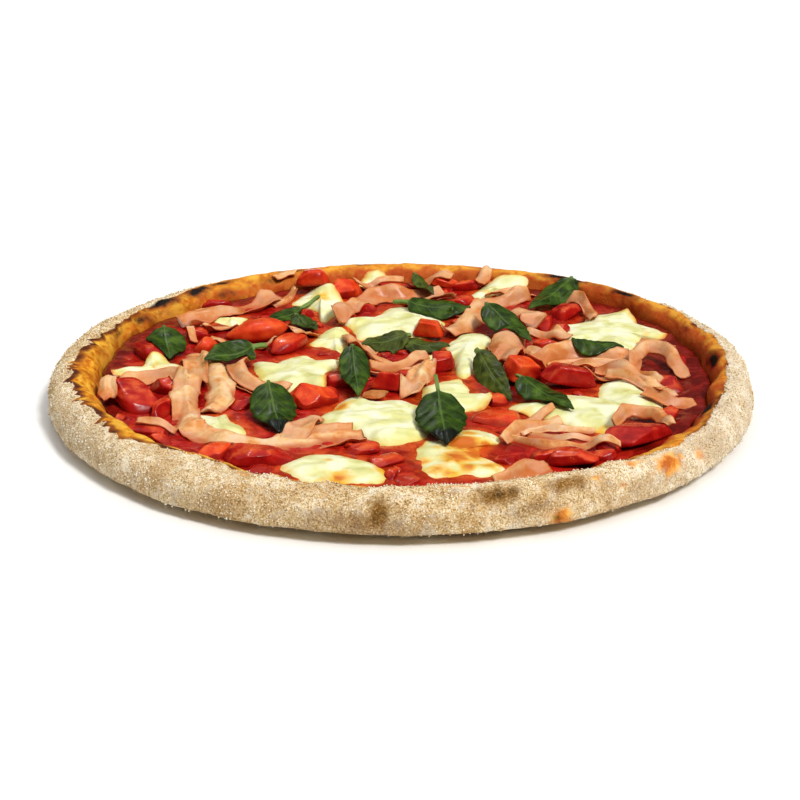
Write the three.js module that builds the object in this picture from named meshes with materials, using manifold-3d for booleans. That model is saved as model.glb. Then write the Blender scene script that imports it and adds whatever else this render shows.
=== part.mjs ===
// A round pizza with a floured, blistered rim, spread with tomato sauce and topped with melted
// mozzarella, tomato pieces, strips of cooked ham and basil leaves.
// Millimetres, +Z up. The origin is the centre of the flat underside, and +Y points to the back.
// Each topping is laid in turn on the top of everything laid before it.

import * as THREE from "three";
import { mergeVertices } from "three/addons/utils/BufferGeometryUtils.js";
import Module from "manifold-3d";

const wasm = await Module();
wasm.setup();

// Driving dimensions
const PIZZA_RADIUS = 160;
const RIM_WIDTH = 18;
const RIM_HEIGHT = 18.5;
const DOUGH_FLOOR = 5.5;
const FOOT_ROUNDING = 12;
const SAUCE_TOP = 8;
const CLEARANCE = 0.3;

// Unevenness of the hand-stretched dough
const OUTLINE_WAVE = 1.4;
const OUTLINE_SEED = 244;
const CREST_WAVE = 1.3;
const CREST_SEED = 11;
const INNER_EDGE_WAVE = 1.8;
const INNER_EDGE_SEED = 7;
const FRONT_CREST_RISE = 1;
const FLOOR_SHIFT = [4.5, 3.5];
const LOW_STRETCH = { at: 125, span: 32, depth: 3.5 };

// Unevenness of the toppings, as shares of their size
const CHEESE_OUTLINE_WAVE = 0.16;
const CHEESE_SAG = 0.14;
const TOMATO_SKEW = 0.15;
const HAM_RAGGEDNESS = 0.12;

// Thickness of the soft toppings
const HAM_THICKNESS = 1.6;
const LEAF_THICKNESS = 0.8;
const STEM_WIDTH = 1.6;
const TIP_WIDTH = 0.8;

// Fineness of the faceted surfaces
const RIM_SECTORS = 80;
const RIM_ARC_STEPS = 9;
const CHEESE_SECTORS = 18;
const TOMATO_SECTORS = 8;
const TOMATO_RINGS = 5;
const HAM_STEP = 5.5;
const LEAF_COLUMNS = 4;
const LEAF_ROWS = 10;
const RELIEF_CELL = 1;

const INNER_RADIUS = PIZZA_RADIUS - RIM_WIDTH;

// Melted mozzarella: each piece is one or more patches that have run together, with a centre, a size
// along and across, the turn of the long side from +X in degrees, and a rise
const MOZZARELLA = [
  { name: "mozzarella_centre", patches: [{ x: -11, y: -55, length: 58, width: 46, turn: -60, rise: 6 }] },
  { name: "mozzarella_left", patches: [{ x: -44, y: 5, length: 52, width: 40, turn: 80, rise: 5.5 }] },
  { name: "mozzarella_front", patches: [{ x: -28, y: -105, length: 46, width: 30, turn: -6, rise: 4.5 }] },
  { name: "mozzarella_front_right", patches: [{ x: 21, y: -90, length: 48, width: 34, turn: 75, rise: 4 }] },
  {
    name: "mozzarella_right",
    patches: [
      { x: 74, y: -49, length: 50, width: 43, turn: 5, rise: 5.5 },
      { x: 103, y: -25, length: 46, width: 27, turn: 100, rise: 5 },
    ],
  },
  { name: "mozzarella_back_right", patches: [{ x: 100, y: 54, length: 58, width: 40, turn: 96, rise: 5.5 }] },
  { name: "mozzarella_middle", patches: [{ x: 33, y: 33, length: 58, width: 21, turn: 78, rise: 5.5 }] },
  { name: "mozzarella_under_leaf", patches: [{ x: 24, y: -20, length: 36, width: 32, turn: 10, rise: 4.5 }] },
  {
    name: "mozzarella_back",
    patches: [
      { x: -1, y: 79, length: 58, width: 48, turn: 60, rise: 5.5 },
      { x: -29, y: 55, length: 40, width: 24, turn: 70, rise: 4.5 },
    ],
  },
  { name: "mozzarella_far_left", patches: [{ x: -36, y: 104, length: 56, width: 29, turn: -62, rise: 5.5 }] },
  { name: "mozzarella_left_edge", patches: [{ x: -115, y: 9, length: 38, width: 18, turn: -6, rise: 4.5 }] },
  { name: "mozzarella_left_front", patches: [{ x: -79, y: -58, length: 37, width: 23, turn: -50, rise: 4 }] },
  { name: "mozzarella_far_right", patches: [{ x: 52, y: 118, length: 34, width: 27, turn: 35, rise: 4.5 }] },
];

// Tomato pieces that lie on the sauce and the cheese: centre, size, turn in degrees
const TOMATOES = [
  { name: "tomato_half", x: -70, y: 57, length: 31, width: 20, height: 9, turn: 8 },
  { name: "tomato_wedge_left", x: -53, y: 41, length: 25, width: 12, height: 8, turn: 58 },
  { name: "tomato_dice_centre", x: -5, y: -14, length: 13, width: 10, height: 8, turn: 5 },
  { name: "tomato_wedge_centre", x: -38, y: -32, length: 20, width: 13, height: 8, turn: 28 },
  { name: "tomato_dice_middle", x: 20, y: 11, length: 11, width: 9, height: 7, turn: 12 },
  { name: "tomato_dice_on_cheese", x: 14, y: 57, length: 14, width: 10, height: 7, turn: -22 },
  { name: "tomato_dice_right", x: 56, y: -3, length: 17, width: 13, height: 10, turn: 32 },
  { name: "tomato_chunk_right", x: 77, y: -9, length: 21, width: 12, height: 9, turn: 12 },
  { name: "tomato_wedge_back", x: -46, y: 127, length: 17, width: 13, height: 9, turn: 10 },
  { name: "tomato_chunk_far_left", x: -118, y: -32, length: 30, width: 17, height: 9, turn: -52 },
  { name: "tomato_chunk_front", x: -57, y: -96, length: 27, width: 15, height: 8, turn: 8 },
  { name: "tomato_chunk_front_right", x: 100, y: -76, length: 31, width: 18, height: 9, turn: 48 },
];

// Tomato pieces half sunk in the sauce, which are one piece with it
const SUNKEN_TOMATOES = [
  { x: -27, y: -9, length: 14, width: 10, height: 7, turn: 15 },
  { x: -93, y: 41, length: 13, width: 9, height: 7, turn: 60 },
  { x: -29, y: 122, length: 15, width: 10, height: 7, turn: 0 },
  { x: 25, y: 104, length: 25, width: 10, height: 6, turn: -15 },
  { x: 71, y: 74, length: 20, width: 10, height: 6, turn: 70 },
  { x: 84, y: 91, length: 18, width: 11, height: 7, turn: 42 },
  { x: 68, y: 40, length: 13, width: 9, height: 7, turn: -60 },
  { x: 43, y: -32, length: 10, width: 8, height: 7, turn: 20 },
  { x: 41, y: -53, length: 17, width: 13, height: 5, turn: -10 },
  { x: 120, y: -10, length: 21, width: 13, height: 6, turn: -60 },
  { x: -103, y: -40, length: 26, width: 10, height: 8, turn: 72 },
  { x: -76, y: -91, length: 18, width: 10, height: 7, turn: 60 },
  { x: 70, y: -100, length: 21, width: 13, height: 7, turn: -20 },
  { x: -119, y: 33, length: 25, width: 14, height: 7, turn: -65 },
];

// Ham: each piece is one or more strips along a line of points, with a width and a roll of its edges
const HAM = [
  {
    name: "ham_left_loop",
    strips: [{ line: [[-129, -22], [-129, -4], [-117, 4], [-102, -4], [-97, -20]], width: 9, roll: 1 }],
  },
  {
    name: "ham_left_band",
    strips: [{ line: [[-86, 22], [-82, -4], [-79, -28], [-83, -46]], width: 12, roll: 2 }],
  },
  {
    name: "ham_left_sweep",
    strips: [
      { line: [[-98, 30], [-94, 0], [-95, -35], [-87, -67], [-62, -81], [-34, -78], [-12, -68]],
        width: 11, roll: 1 },
      { line: [[-46, -78], [-42, -64], [-36, -50]], width: 13, roll: 1 },
    ],
  },
  {
    name: "ham_beside_left_cheese",
    strips: [{ line: [[-72, 20], [-75, 3], [-66, -14], [-50, -21]], width: 10, roll: 2 }],
  },
  {
    name: "ham_back_left",
    strips: [{ line: [[-107, 70], [-92, 91], [-71, 102], [-61, 122]], width: 13, roll: 1 }],
  },
  {
    name: "ham_back_arch",
    strips: [{ line: [[-31, 70], [-27, 90], [-14, 110], [5, 116], [22, 122]], width: 11, roll: 2 }],
  },
  {
    name: "ham_middle_loop",
    strips: [
      { line: [[-26, 52], [-20, 32], [-7, 16], [8, 6]], width: 8, roll: 1 },
      { line: [[-14, 4], [0, 10], [13, 24]], width: 6, roll: 1 },
    ],
  },
  {
    name: "ham_centre",
    strips: [{ line: [[13, 8], [8, -8], [5, -28]], width: 12, roll: 1 }],
  },
  {
    name: "ham_back_right",
    strips: [
      { line: [[66, 116], [50, 106], [41, 88], [32, 70], [24, 54]], width: 12, roll: 1 },
    ],
  },
  {
    name: "ham_beside_leaf",
    strips: [{ line: [[60, 96], [66, 80], [65, 62]], width: 13, roll: 2 }],
  },
  {
    name: "ham_roll",
    strips: [{ line: [[54, 52], [51, 30], [46, 10]], width: 16, roll: 5 }],
  },
  {
    name: "ham_right_arch",
    strips: [
      { line: [[62, 2], [67, 18], [83, 26], [108, 23]], width: 12, roll: 2 },
      { line: [[80, 22], [90, 13], [108, 8]], width: 7, roll: 1 },
    ],
  },
  {
    name: "ham_right_fork",
    strips: [
      { line: [[106, -1], [112, 18], [120, 32]], width: 10, roll: 1 },
      { line: [[116, 33], [124, 16], [131, -2]], width: 9, roll: 1 },
    ],
  },
  {
    name: "ham_right_edge",
    strips: [{ line: [[90, 2], [107, -9], [121, -32]], width: 12, roll: 1 }],
  },
  {
    name: "ham_front_right_arch",
    strips: [{ line: [[91, -68], [99, -53], [110, -57], [114, -74]], width: 7, roll: 1 }],
  },
  {
    name: "ham_front_right_strands",
    strips: [
      { line: [[44, -79], [54, -65], [68, -57]], width: 10, roll: 1 },
      { line: [[47, -72], [60, -79], [78, -81], [90, -89]], width: 6, roll: 1 },
    ],
  },
  {
    name: "ham_front_edge",
    strips: [{ line: [[40, -122], [52, -111], [64, -100]], width: 13, roll: 1 }],
  },
];

// Basil: centre, turn of the tip from +X in degrees, blade size, stem length, height of the stem's
// end over the tip, and roll about the midrib in degrees (positive lifts the right-hand edge)
const BASIL = [
  { name: "basil_far_back", x: 13, y: 120, turn: -70, length: 24, width: 10, stem: 4, lift: 3, roll: 20 },
  { name: "basil_back_left", x: -59, y: 87, turn: 230, length: 26, width: 12, stem: 14, lift: 2, roll: 25 },
  { name: "basil_back_small", x: -46, y: 68, turn: -60, length: 21, width: 12, stem: 3, lift: 1, roll: 0 },
  { name: "basil_back_centre", x: 20, y: 90, turn: -12, length: 32, width: 20, stem: 8, lift: 1, roll: -18 },
  { name: "basil_back_right", x: 77, y: 106, turn: -125, length: 41, width: 19, stem: 2, lift: 4, roll: 0 },
  { name: "basil_right_long", x: 53, y: 53, turn: -62, length: 41, width: 16, stem: 2, lift: 6, roll: -10 },
  { name: "basil_sprig_right", x: 13, y: 36, turn: -12, length: 22, width: 14, stem: 2, lift: 0, roll: -15 },
  { name: "basil_sprig_left", x: -8, y: 38, turn: 200, length: 24, width: 16, stem: 2, lift: 2, roll: 20 },
  { name: "basil_left", x: -111, y: 34, turn: -78, length: 30, width: 19, stem: 2, lift: 5, roll: 0 },
  { name: "basil_left_inner", x: -80, y: 15, turn: 206, length: 24, width: 21, stem: 7, lift: 2, roll: 30 },
  { name: "basil_right_small", x: 94, y: 32, turn: -8, length: 25, width: 18, stem: 5, lift: 0, roll: -20 },
  { name: "basil_centre", x: -20, y: -16, turn: -85, length: 43, width: 14, stem: 2, lift: 8, roll: 0 },
  { name: "basil_right_folded", x: 43, y: -10, turn: -72, length: 42, width: 14, stem: 4, lift: 8, roll: -30 },
  { name: "basil_right", x: 65, y: -35, turn: -55, length: 36, width: 17, stem: 4, lift: 3, roll: 0 },
  { name: "basil_left_front", x: -54, y: -53, turn: -79, length: 40, width: 20, stem: 2, lift: 8, roll: 0 },
  { name: "basil_front", x: 18, y: -68, turn: -86, length: 41, width: 22, stem: 14, lift: 10, roll: 0 },
];

// A repeatable random number from 0 to 1
function seeded(seed) {
  const wave = Math.sin(seed * 127.1 + 311.7) * 43758.5453;
  return wave - Math.floor(wave);
}

// A smooth wave round a full turn, from about -1 to 1, made of a few harmonics
function lumps(angle, seed, first, last) {
  let sum = 0;
  for (let n = first; n <= last; n++) {
    sum += Math.cos(n * angle + 2 * Math.PI * seeded(seed + n)) / (1 + n - first);
  }
  const USUAL_PEAK = 1.5;
  return sum / USUAL_PEAK;
}

// Moves every point of a geometry
function warp(geometry, move) {
  const points = geometry.attributes.position;
  for (let i = 0; i < points.count; i++) {
    points.setXYZ(i, ...move(points.getX(i), points.getY(i), points.getZ(i)));
  }
  return geometry;
}

// A body turned about Z from points [radius, height], listed from the foot up
function turned(profile, sectors) {
  const points = profile.map(([radius, height]) => new THREE.Vector2(radius, height));
  return new THREE.LatheGeometry(points, sectors).rotateX(Math.PI / 2);
}

// A point of a piece's own frame, turned and moved to its place
function placed(piece, along, across) {
  const turn = THREE.MathUtils.degToRad(piece.turn);
  return [
    piece.x + along * Math.cos(turn) - across * Math.sin(turn),
    piece.y + along * Math.sin(turn) + across * Math.cos(turn),
  ];
}

// A closed sheet with both faces split alike. shape(u, v) gives [x, y, lower z, upper z]
function thickSheet(columns, rows, shape) {
  const plane = new THREE.PlaneGeometry(1, 1, columns, rows);
  const count = plane.attributes.uv.count;
  const points = new Float32Array(count * 6);
  for (let i = 0; i < count; i++) {
    const [x, y, lower, upper] = shape(plane.attributes.uv.getX(i), plane.attributes.uv.getY(i));
    points.set([x, y, upper], i * 3);
    points.set([x, y, lower], (count + i) * 3);
  }
  const upperFaces = [...plane.index.array];
  const lowerFaces = upperFaces.map((i) => i + count).reverse();
  const walls = outerLoop(columns, rows).flatMap((a, k, loop) => {
    const b = loop[(k + 1) % loop.length];
    return [a + count, b + count, b, a + count, b, a];
  });
  return new THREE.BufferGeometry()
    .setAttribute("position", new THREE.BufferAttribute(points, 3))
    .setIndex([...upperFaces, ...lowerFaces, ...walls]);
}

// The outer points of a plane's grid, anticlockwise from above
function outerLoop(columns, rows) {
  const at = (row, column) => row * (columns + 1) + column;
  const loop = [];
  for (let column = 0; column < columns; column++) loop.push(at(rows, column));
  for (let row = rows; row > 0; row--) loop.push(at(row, columns));
  for (let column = columns; column > 0; column--) loop.push(at(0, column));
  for (let row = 0; row < rows; row++) loop.push(at(row, 0));
  return loop;
}

// A geometry as a solid that can be joined and cut
function solidOf(geometry) {
  const bare = new THREE.BufferGeometry().setAttribute("position", geometry.attributes.position);
  bare.setIndex(geometry.index);
  const merged = mergeVertices(bare, 1e-3);
  return new wasm.Manifold(
    new wasm.Mesh({
      numProp: 3,
      vertProperties: merged.attributes.position.array,
      triVerts: new Uint32Array(merged.index.array),
    }),
  );
}

// A solid as a geometry to draw
function geometryOf(solid) {
  const mesh = solid.getMesh();
  const geometry = new THREE.BufferGeometry();
  geometry.setAttribute("position", new THREE.BufferAttribute(mesh.vertProperties, 3));
  geometry.setIndex(new THREE.BufferAttribute(mesh.triVerts, 1));
  geometry.computeVertexNormals();
  return geometry;
}

// The top of everything laid so far, as heights on a square grid over the pizza
const relief = {
  side: Math.ceil((2 * PIZZA_RADIUS + 20) / RELIEF_CELL),
  heights: null,
  cellOf(distance) {
    return Math.floor(distance / RELIEF_CELL + this.side / 2);
  },
  centreOf(cell) {
    return (cell + 0.5 - this.side / 2) * RELIEF_CELL;
  },
  // Raises the grid to a geometry's upper faces
  cover(geometry) {
    this.heights ??= new Float32Array(this.side * this.side);
    const points = geometry.attributes.position;
    const corner = [0, 1, 2].map(() => new THREE.Vector3());
    for (let i = 0; i < geometry.index.count; i += 3) {
      corner.forEach((p, k) => p.fromBufferAttribute(points, geometry.index.getX(i + k)));
      this.coverTriangle(...corner);
    }
  },
  coverTriangle(a, b, c) {
    const area = (b.x - a.x) * (c.y - a.y) - (c.x - a.x) * (b.y - a.y);
    if (area <= 1e-6) return;
    const rows = [this.cellOf(Math.min(a.y, b.y, c.y)), this.cellOf(Math.max(a.y, b.y, c.y))];
    const columns = [this.cellOf(Math.min(a.x, b.x, c.x)), this.cellOf(Math.max(a.x, b.x, c.x))];
    for (let row = rows[0]; row <= rows[1]; row++) {
      for (let column = columns[0]; column <= columns[1]; column++) {
        const x = this.centreOf(column);
        const y = this.centreOf(row);
        const shareB = ((x - a.x) * (c.y - a.y) - (c.x - a.x) * (y - a.y)) / area;
        const shareC = ((b.x - a.x) * (y - a.y) - (x - a.x) * (b.y - a.y)) / area;
        if (shareB < 0 || shareC < 0 || shareB + shareC > 1) continue;
        const z = a.z + shareB * (b.z - a.z) + shareC * (c.z - a.z);
        const cell = row * this.side + column;
        this.heights[cell] = Math.max(this.heights[cell], z);
      }
    }
  },
  // The highest top within a distance of a point
  highest(x, y, reach) {
    let top = 0;
    for (let row = this.cellOf(y - reach); row <= this.cellOf(y + reach); row++) {
      for (let column = this.cellOf(x - reach); column <= this.cellOf(x + reach); column++) {
        if (Math.hypot(this.centreOf(column) - x, this.centreOf(row) - y) > reach + RELIEF_CELL) continue;
        top = Math.max(top, this.heights[row * this.side + column]);
      }
    }
    return top;
  },
};

const pizza = new THREE.Group();
const laidSolids = [];

// Adds a solid to the pizza as a named mesh
function add(name, solid, colour, roughness) {
  const geometry = geometryOf(solid);
  const material = new THREE.MeshStandardMaterial({ color: colour, roughness, metalness: 0 });
  const mesh = new THREE.Mesh(geometry, material);
  mesh.name = name;
  pizza.add(mesh);
  laidSolids.push(solid);
  relief.cover(geometry);
}

// Lays a soft piece on what is under it. make(ground) builds it over ground(x, y), the height that
// it rests on, which looks further round each point until the piece is clear of all others.
function lay(name, make, colour, roughness) {
  const FIRST_REACH = 2;
  const LAST_REACH = 14;
  for (let reach = FIRST_REACH; reach <= LAST_REACH; reach++) {
    const solid = make((x, y) => relief.highest(x, y, reach) + CLEARANCE);
    if (laidSolids.every((other) => solid.intersect(other).volume() < 1e-3)) {
      add(name, solid, colour, roughness);
      return;
    }
  }
  throw new Error(name + " finds no clear place");
}

// The radius where the rim's inner side meets the floor, which lies a little off the centre
function innerEdge(angle) {
  const shift = FLOOR_SHIFT[0] * Math.cos(angle) + FLOOR_SHIFT[1] * Math.sin(angle);
  return INNER_RADIUS + shift + INNER_EDGE_WAVE * lumps(angle, INNER_EDGE_SEED, 3, 9);
}

// How far the rim's crest stands over its mean height
function crestOver(angle) {
  const fromLow = THREE.MathUtils.radToDeg(angle) - LOW_STRETCH.at;
  const low = LOW_STRETCH.depth * Math.exp(-((fromLow / LOW_STRETCH.span) ** 2));
  return CREST_WAVE * lumps(angle, CREST_SEED, 4, 13) - FRONT_CREST_RISE * Math.sin(angle) - low;
}

// The dough: a flat foot, a round rim and a floor that holds the sauce
function crust() {
  const MID_FOOT = 0.42;
  const ARC_FULLNESS = 0.75;
  const profile = [
    [0, 0],
    [PIZZA_RADIUS - FOOT_ROUNDING, 0],
    [PIZZA_RADIUS - FOOT_ROUNDING * MID_FOOT, DOUGH_FLOOR * MID_FOOT],
  ];
  for (let step = 0; step <= RIM_ARC_STEPS; step++) {
    const angle = (Math.PI * step) / RIM_ARC_STEPS;
    const rise = Math.sin(angle) ** ARC_FULLNESS;
    profile.push([
      PIZZA_RADIUS - (RIM_WIDTH * (1 - Math.cos(angle))) / 2,
      DOUGH_FLOOR + (RIM_HEIGHT - DOUGH_FLOOR) * rise,
    ]);
  }
  profile.push([INNER_RADIUS * 0.5, DOUGH_FLOOR], [0, DOUGH_FLOOR]);
  return warp(turned(profile, RIM_SECTORS), (x, y, z) => {
    const angle = Math.atan2(y, x);
    const radius = Math.hypot(x, y);
    const share = THREE.MathUtils.clamp((radius - INNER_RADIUS) / RIM_WIDTH, 0, 1);
    const inward = (innerEdge(angle) - INNER_RADIUS) * (1 - share) * Math.min(1, radius / INNER_RADIUS);
    const outward = OUTLINE_WAVE * lumps(angle, OUTLINE_SEED, 2, 7) * share;
    const grow = radius > 0 ? (radius + inward + outward) / radius : 1;
    const overFloor = Math.max(0, z - DOUGH_FLOOR) / (RIM_HEIGHT - DOUGH_FLOOR);
    return [x * grow, y * grow, z + crestOver(angle) * overFloor];
  });
}

// A tomato piece: a ball drawn out to a block with soft corners, from 0 to 1 high
function tomatoBlock(piece) {
  const SOFT_CORNER = 0.6;
  const square = (value) => Math.sign(value) * Math.abs(value) ** SOFT_CORNER;
  const ball = new THREE.SphereGeometry(1, TOMATO_SECTORS, TOMATO_RINGS).rotateX(Math.PI / 2);
  return warp(ball, (x, y, z) => {
    const side = Math.hypot(x, y);
    const flare = side > 0 ? square(side) / side : 1;
    const skew = 1 + TOMATO_SKEW * lumps(Math.atan2(y, x), piece.x * 0.37 + piece.y, 2, 3);
    return [
      ...placed(piece, (x * flare * skew * piece.length) / 2, (y * flare * skew * piece.width) / 2),
      (1 + square(z)) / 2,
    ];
  });
}

// The sauce: a shallow disc up to the rim, with the tomato pieces that are sunk in it
function sauce() {
  const EDGE_GAP = 1;
  const THIN_EDGE = 0.6;
  const TAPER_FROM = 0.96;
  const outer = INNER_RADIUS - EDGE_GAP;
  const bottom = DOUGH_FLOOR + CLEARANCE;
  const profile = [
    [0, bottom],
    [outer, bottom],
    [outer, bottom + THIN_EDGE],
    [outer * TAPER_FROM, SAUCE_TOP],
    [0, SAUCE_TOP],
  ];
  const disc = warp(turned(profile, RIM_SECTORS), (x, y, z) => {
    const angle = Math.atan2(y, x);
    const grow = (innerEdge(angle) - EDGE_GAP) / outer;
    return [x * grow, y * grow, z];
  });
  return SUNKEN_TOMATOES.reduce((whole, piece) => {
    const height = SAUCE_TOP - bottom - CLEARANCE + piece.height;
    const block = warp(tomatoBlock(piece), (x, y, z) => [x, y, bottom + CLEARANCE + z * height]);
    return whole.add(solidOf(block));
  }, solidOf(disc));
}

// A patch of melted mozzarella: a low dome with an uneven outline
function mozzarellaPatch(patch, ground) {
  const EDGE_THICKNESS = 0.9;
  const edgeShare = EDGE_THICKNESS / patch.rise;
  const seed = patch.x + 3 * patch.y;
  const profile = [[0, 0], [0.6, 0], [1, 0], [1, edgeShare], [0.86, 0.7], [0.5, 0.97], [0, 1]];
  const dome = warp(turned(profile, CHEESE_SECTORS), (x, y, z) => {
    const angle = Math.atan2(y, x);
    const outline = 1 + CHEESE_OUTLINE_WAVE * lumps(angle, seed, 2, 6);
    const sag = 1 + CHEESE_SAG * lumps(angle * 2 + Math.hypot(x, y) * 3, seed + 5, 1, 3);
    const [px, py] = placed(patch, (x * outline * patch.length) / 2, (y * outline * patch.width) / 2);
    return [px, py, ground(px, py) + z * sag * patch.rise];
  });
  return solidOf(dome);
}

// A tomato piece resting on what is under it
function tomato(piece, ground) {
  const SQUEEZE = 0.5;
  const base = ground(piece.x, piece.y);
  const block = warp(tomatoBlock(piece), (x, y, z) => {
    const floor = ground(x, y);
    return [x, y, Math.max(base + z * piece.height, floor + z * piece.height * SQUEEZE)];
  });
  return solidOf(block);
}

// A strip of ham along a line of points, with its middle raised by the roll
function hamStrip(strip, ground) {
  const route = new THREE.CatmullRomCurve3(strip.line.map(([x, y]) => new THREE.Vector3(x, y, 0)));
  const rows = Math.round(route.getLength() / HAM_STEP);
  const seed = strip.line[0][0] + strip.line[0][1];
  return solidOf(
    thickSheet(2, rows, (u, v) => {
      const centre = route.getPointAt(v);
      const ahead = route.getTangentAt(v);
      const ragged = 1 + HAM_RAGGEDNESS * lumps(v * 5, seed + u, 1, 4);
      const across = (u - 0.5) * strip.width * ragged;
      const x = centre.x + ahead.y * across;
      const y = centre.y - ahead.x * across;
      const crown = strip.roll * (1 - (2 * u - 1) ** 2);
      const lower = ground(x, y) + crown;
      return [x, y, lower, lower + HAM_THICKNESS];
    }),
  );
}

// Several solids made into one
function joined(solids) {
  return solids.reduce((whole, solid) => whole.add(solid));
}

// Half the width of a basil leaf, from the stem's end (0) to the tip (1)
function leafHalfWidth(leaf, share) {
  const stemShare = leaf.stem / (leaf.stem + leaf.length);
  const blade = (share - stemShare) / (1 - stemShare);
  if (blade <= 0) return STEM_WIDTH / 2;
  const WIDEST_NEAR_STEM = 0.72;
  const FULLNESS = 0.8;
  const shoulder = Math.sin(Math.PI * blade ** WIDEST_NEAR_STEM) ** FULLNESS;
  return TIP_WIDTH / 2 + (leaf.width / 2 - TIP_WIDTH / 2) * Math.max(0, shoulder);
}

// A basil leaf: a thin blade, cupped across and waved along, that never dips below the ground
function basil(leaf, ground) {
  const CUP = 0.14;
  const WAVE = 0.7;
  const WAVES = 1.5;
  const whole = leaf.stem + leaf.length;
  const tip = placed(leaf, leaf.length / 2, 0);
  const tipHeight = ground(...tip);
  const tilt = Math.tan(THREE.MathUtils.degToRad(leaf.roll));
  return solidOf(
    thickSheet(LEAF_COLUMNS, LEAF_ROWS, (u, v) => {
      const across = (2 * u - 1) * leafHalfWidth(leaf, v);
      const [x, y] = placed(leaf, v * whole - leaf.stem - leaf.length / 2, -across);
      const arch = leaf.lift * (1 - v) + WAVE * Math.sin(2 * Math.PI * WAVES * v);
      const cup = -CUP * Math.abs(across) + tilt * across;
      const lower = Math.max(ground(x, y), tipHeight + arch + cup);
      return [x, y, lower, lower + LEAF_THICKNESS];
    }),
  );
}

add("crust", solidOf(crust()), 0xd9c095, 0.9);
add("sauce", sauce(), 0xa01c12, 0.35);
for (const { name, patches } of MOZZARELLA) {
  lay(name, (ground) => joined(patches.map((patch) => mozzarellaPatch(patch, ground))), 0xf3ecbd, 0.45);
}
for (const piece of TOMATOES) {
  lay(piece.name, (ground) => tomato(piece, ground), 0xcc3322, 0.3);
}
for (const { name, strips } of HAM) {
  lay(name, (ground) => joined(strips.map((strip) => hamStrip(strip, ground))), 0xe6a384, 0.5);
}
for (const leaf of BASIL) {
  lay(leaf.name, (ground) => basil(leaf, ground), 0x2f5d25, 0.45);
}

export default pizza;
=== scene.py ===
"""Looks of a round pizza with a floured rim, tomato sauce, mozzarella, tomato pieces, ham and basil.

Lengths in this script are millimetres in the row frame; meshes are made in metres.
"""

import math

import bpy
import numpy as np
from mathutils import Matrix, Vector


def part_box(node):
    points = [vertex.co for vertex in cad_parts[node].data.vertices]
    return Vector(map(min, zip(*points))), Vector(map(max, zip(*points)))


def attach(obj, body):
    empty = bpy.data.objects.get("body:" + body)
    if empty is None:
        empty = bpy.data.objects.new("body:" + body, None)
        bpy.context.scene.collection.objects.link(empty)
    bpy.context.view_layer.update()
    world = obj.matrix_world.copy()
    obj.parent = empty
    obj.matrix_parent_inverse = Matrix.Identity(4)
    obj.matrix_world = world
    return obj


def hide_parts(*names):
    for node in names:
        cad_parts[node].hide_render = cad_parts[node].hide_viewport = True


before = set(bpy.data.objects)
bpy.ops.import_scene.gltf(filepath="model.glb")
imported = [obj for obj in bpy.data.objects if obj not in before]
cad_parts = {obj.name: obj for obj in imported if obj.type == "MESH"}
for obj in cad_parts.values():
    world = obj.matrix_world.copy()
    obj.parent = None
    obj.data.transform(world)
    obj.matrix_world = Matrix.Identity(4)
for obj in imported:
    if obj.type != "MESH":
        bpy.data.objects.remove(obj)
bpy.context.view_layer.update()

MM = 0.001

CRUST_GRID = ((920, 66))
CHEESE_GRID = ((130, 28))
LEAF_GRID = ((21, 56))
SAUCE_GRID = (400, 96)
TOMATO_GRID = (64, 40)
SUNKEN_GRID = (44, 26)
BIT_GRID = (36, 22)
SCATTERED_GRID = (20, 12)
# Length of a step along a strip of ham, and steps over which it looks for higher ground
HAM_STEP, HAM_REACH = ((1.0, 9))
FLOUR_GRAINS = 19000

# Sizes that the solids have too
PIZZA_RADIUS = 160.0
RIM_WIDTH = 18.0
RIM_HEIGHT = 18.5
DOUGH_FLOOR = 5.5
FOOT_ROUNDING = 12.0
INNER_RADIUS = PIZZA_RADIUS - RIM_WIDTH
RIM_RISE = RIM_HEIGHT - DOUGH_FLOOR
SAUCE_TOP = 8.0
# How deep the toppings settle into the wet sauce, and small bits of tomato into what lies under them
SETTLE = 1.1
BIT_SUNK = 0.8
# Radius of the dough's smallest ring of points, over and under
INNERMOST_RING = 8.0
# The radii by which lengths round and over the rim become angles
RIM_MIDDLE = 150.0
RIM_ARC = 11.0
# Radius of the circle along which the sauce's edge varies
SAUCE_CIRCLE = 140.0
# Small bits strewn by chance: how many, within what radius and in how many tries
SCATTERED_BITS = 90
SCATTER_REACH = 134
SCATTER_TRIES = 900
# Side veins of a leaf, and how far each runs forward to the edge
VEINS = 5.0
VEIN_SLANT = 1.3

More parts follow.
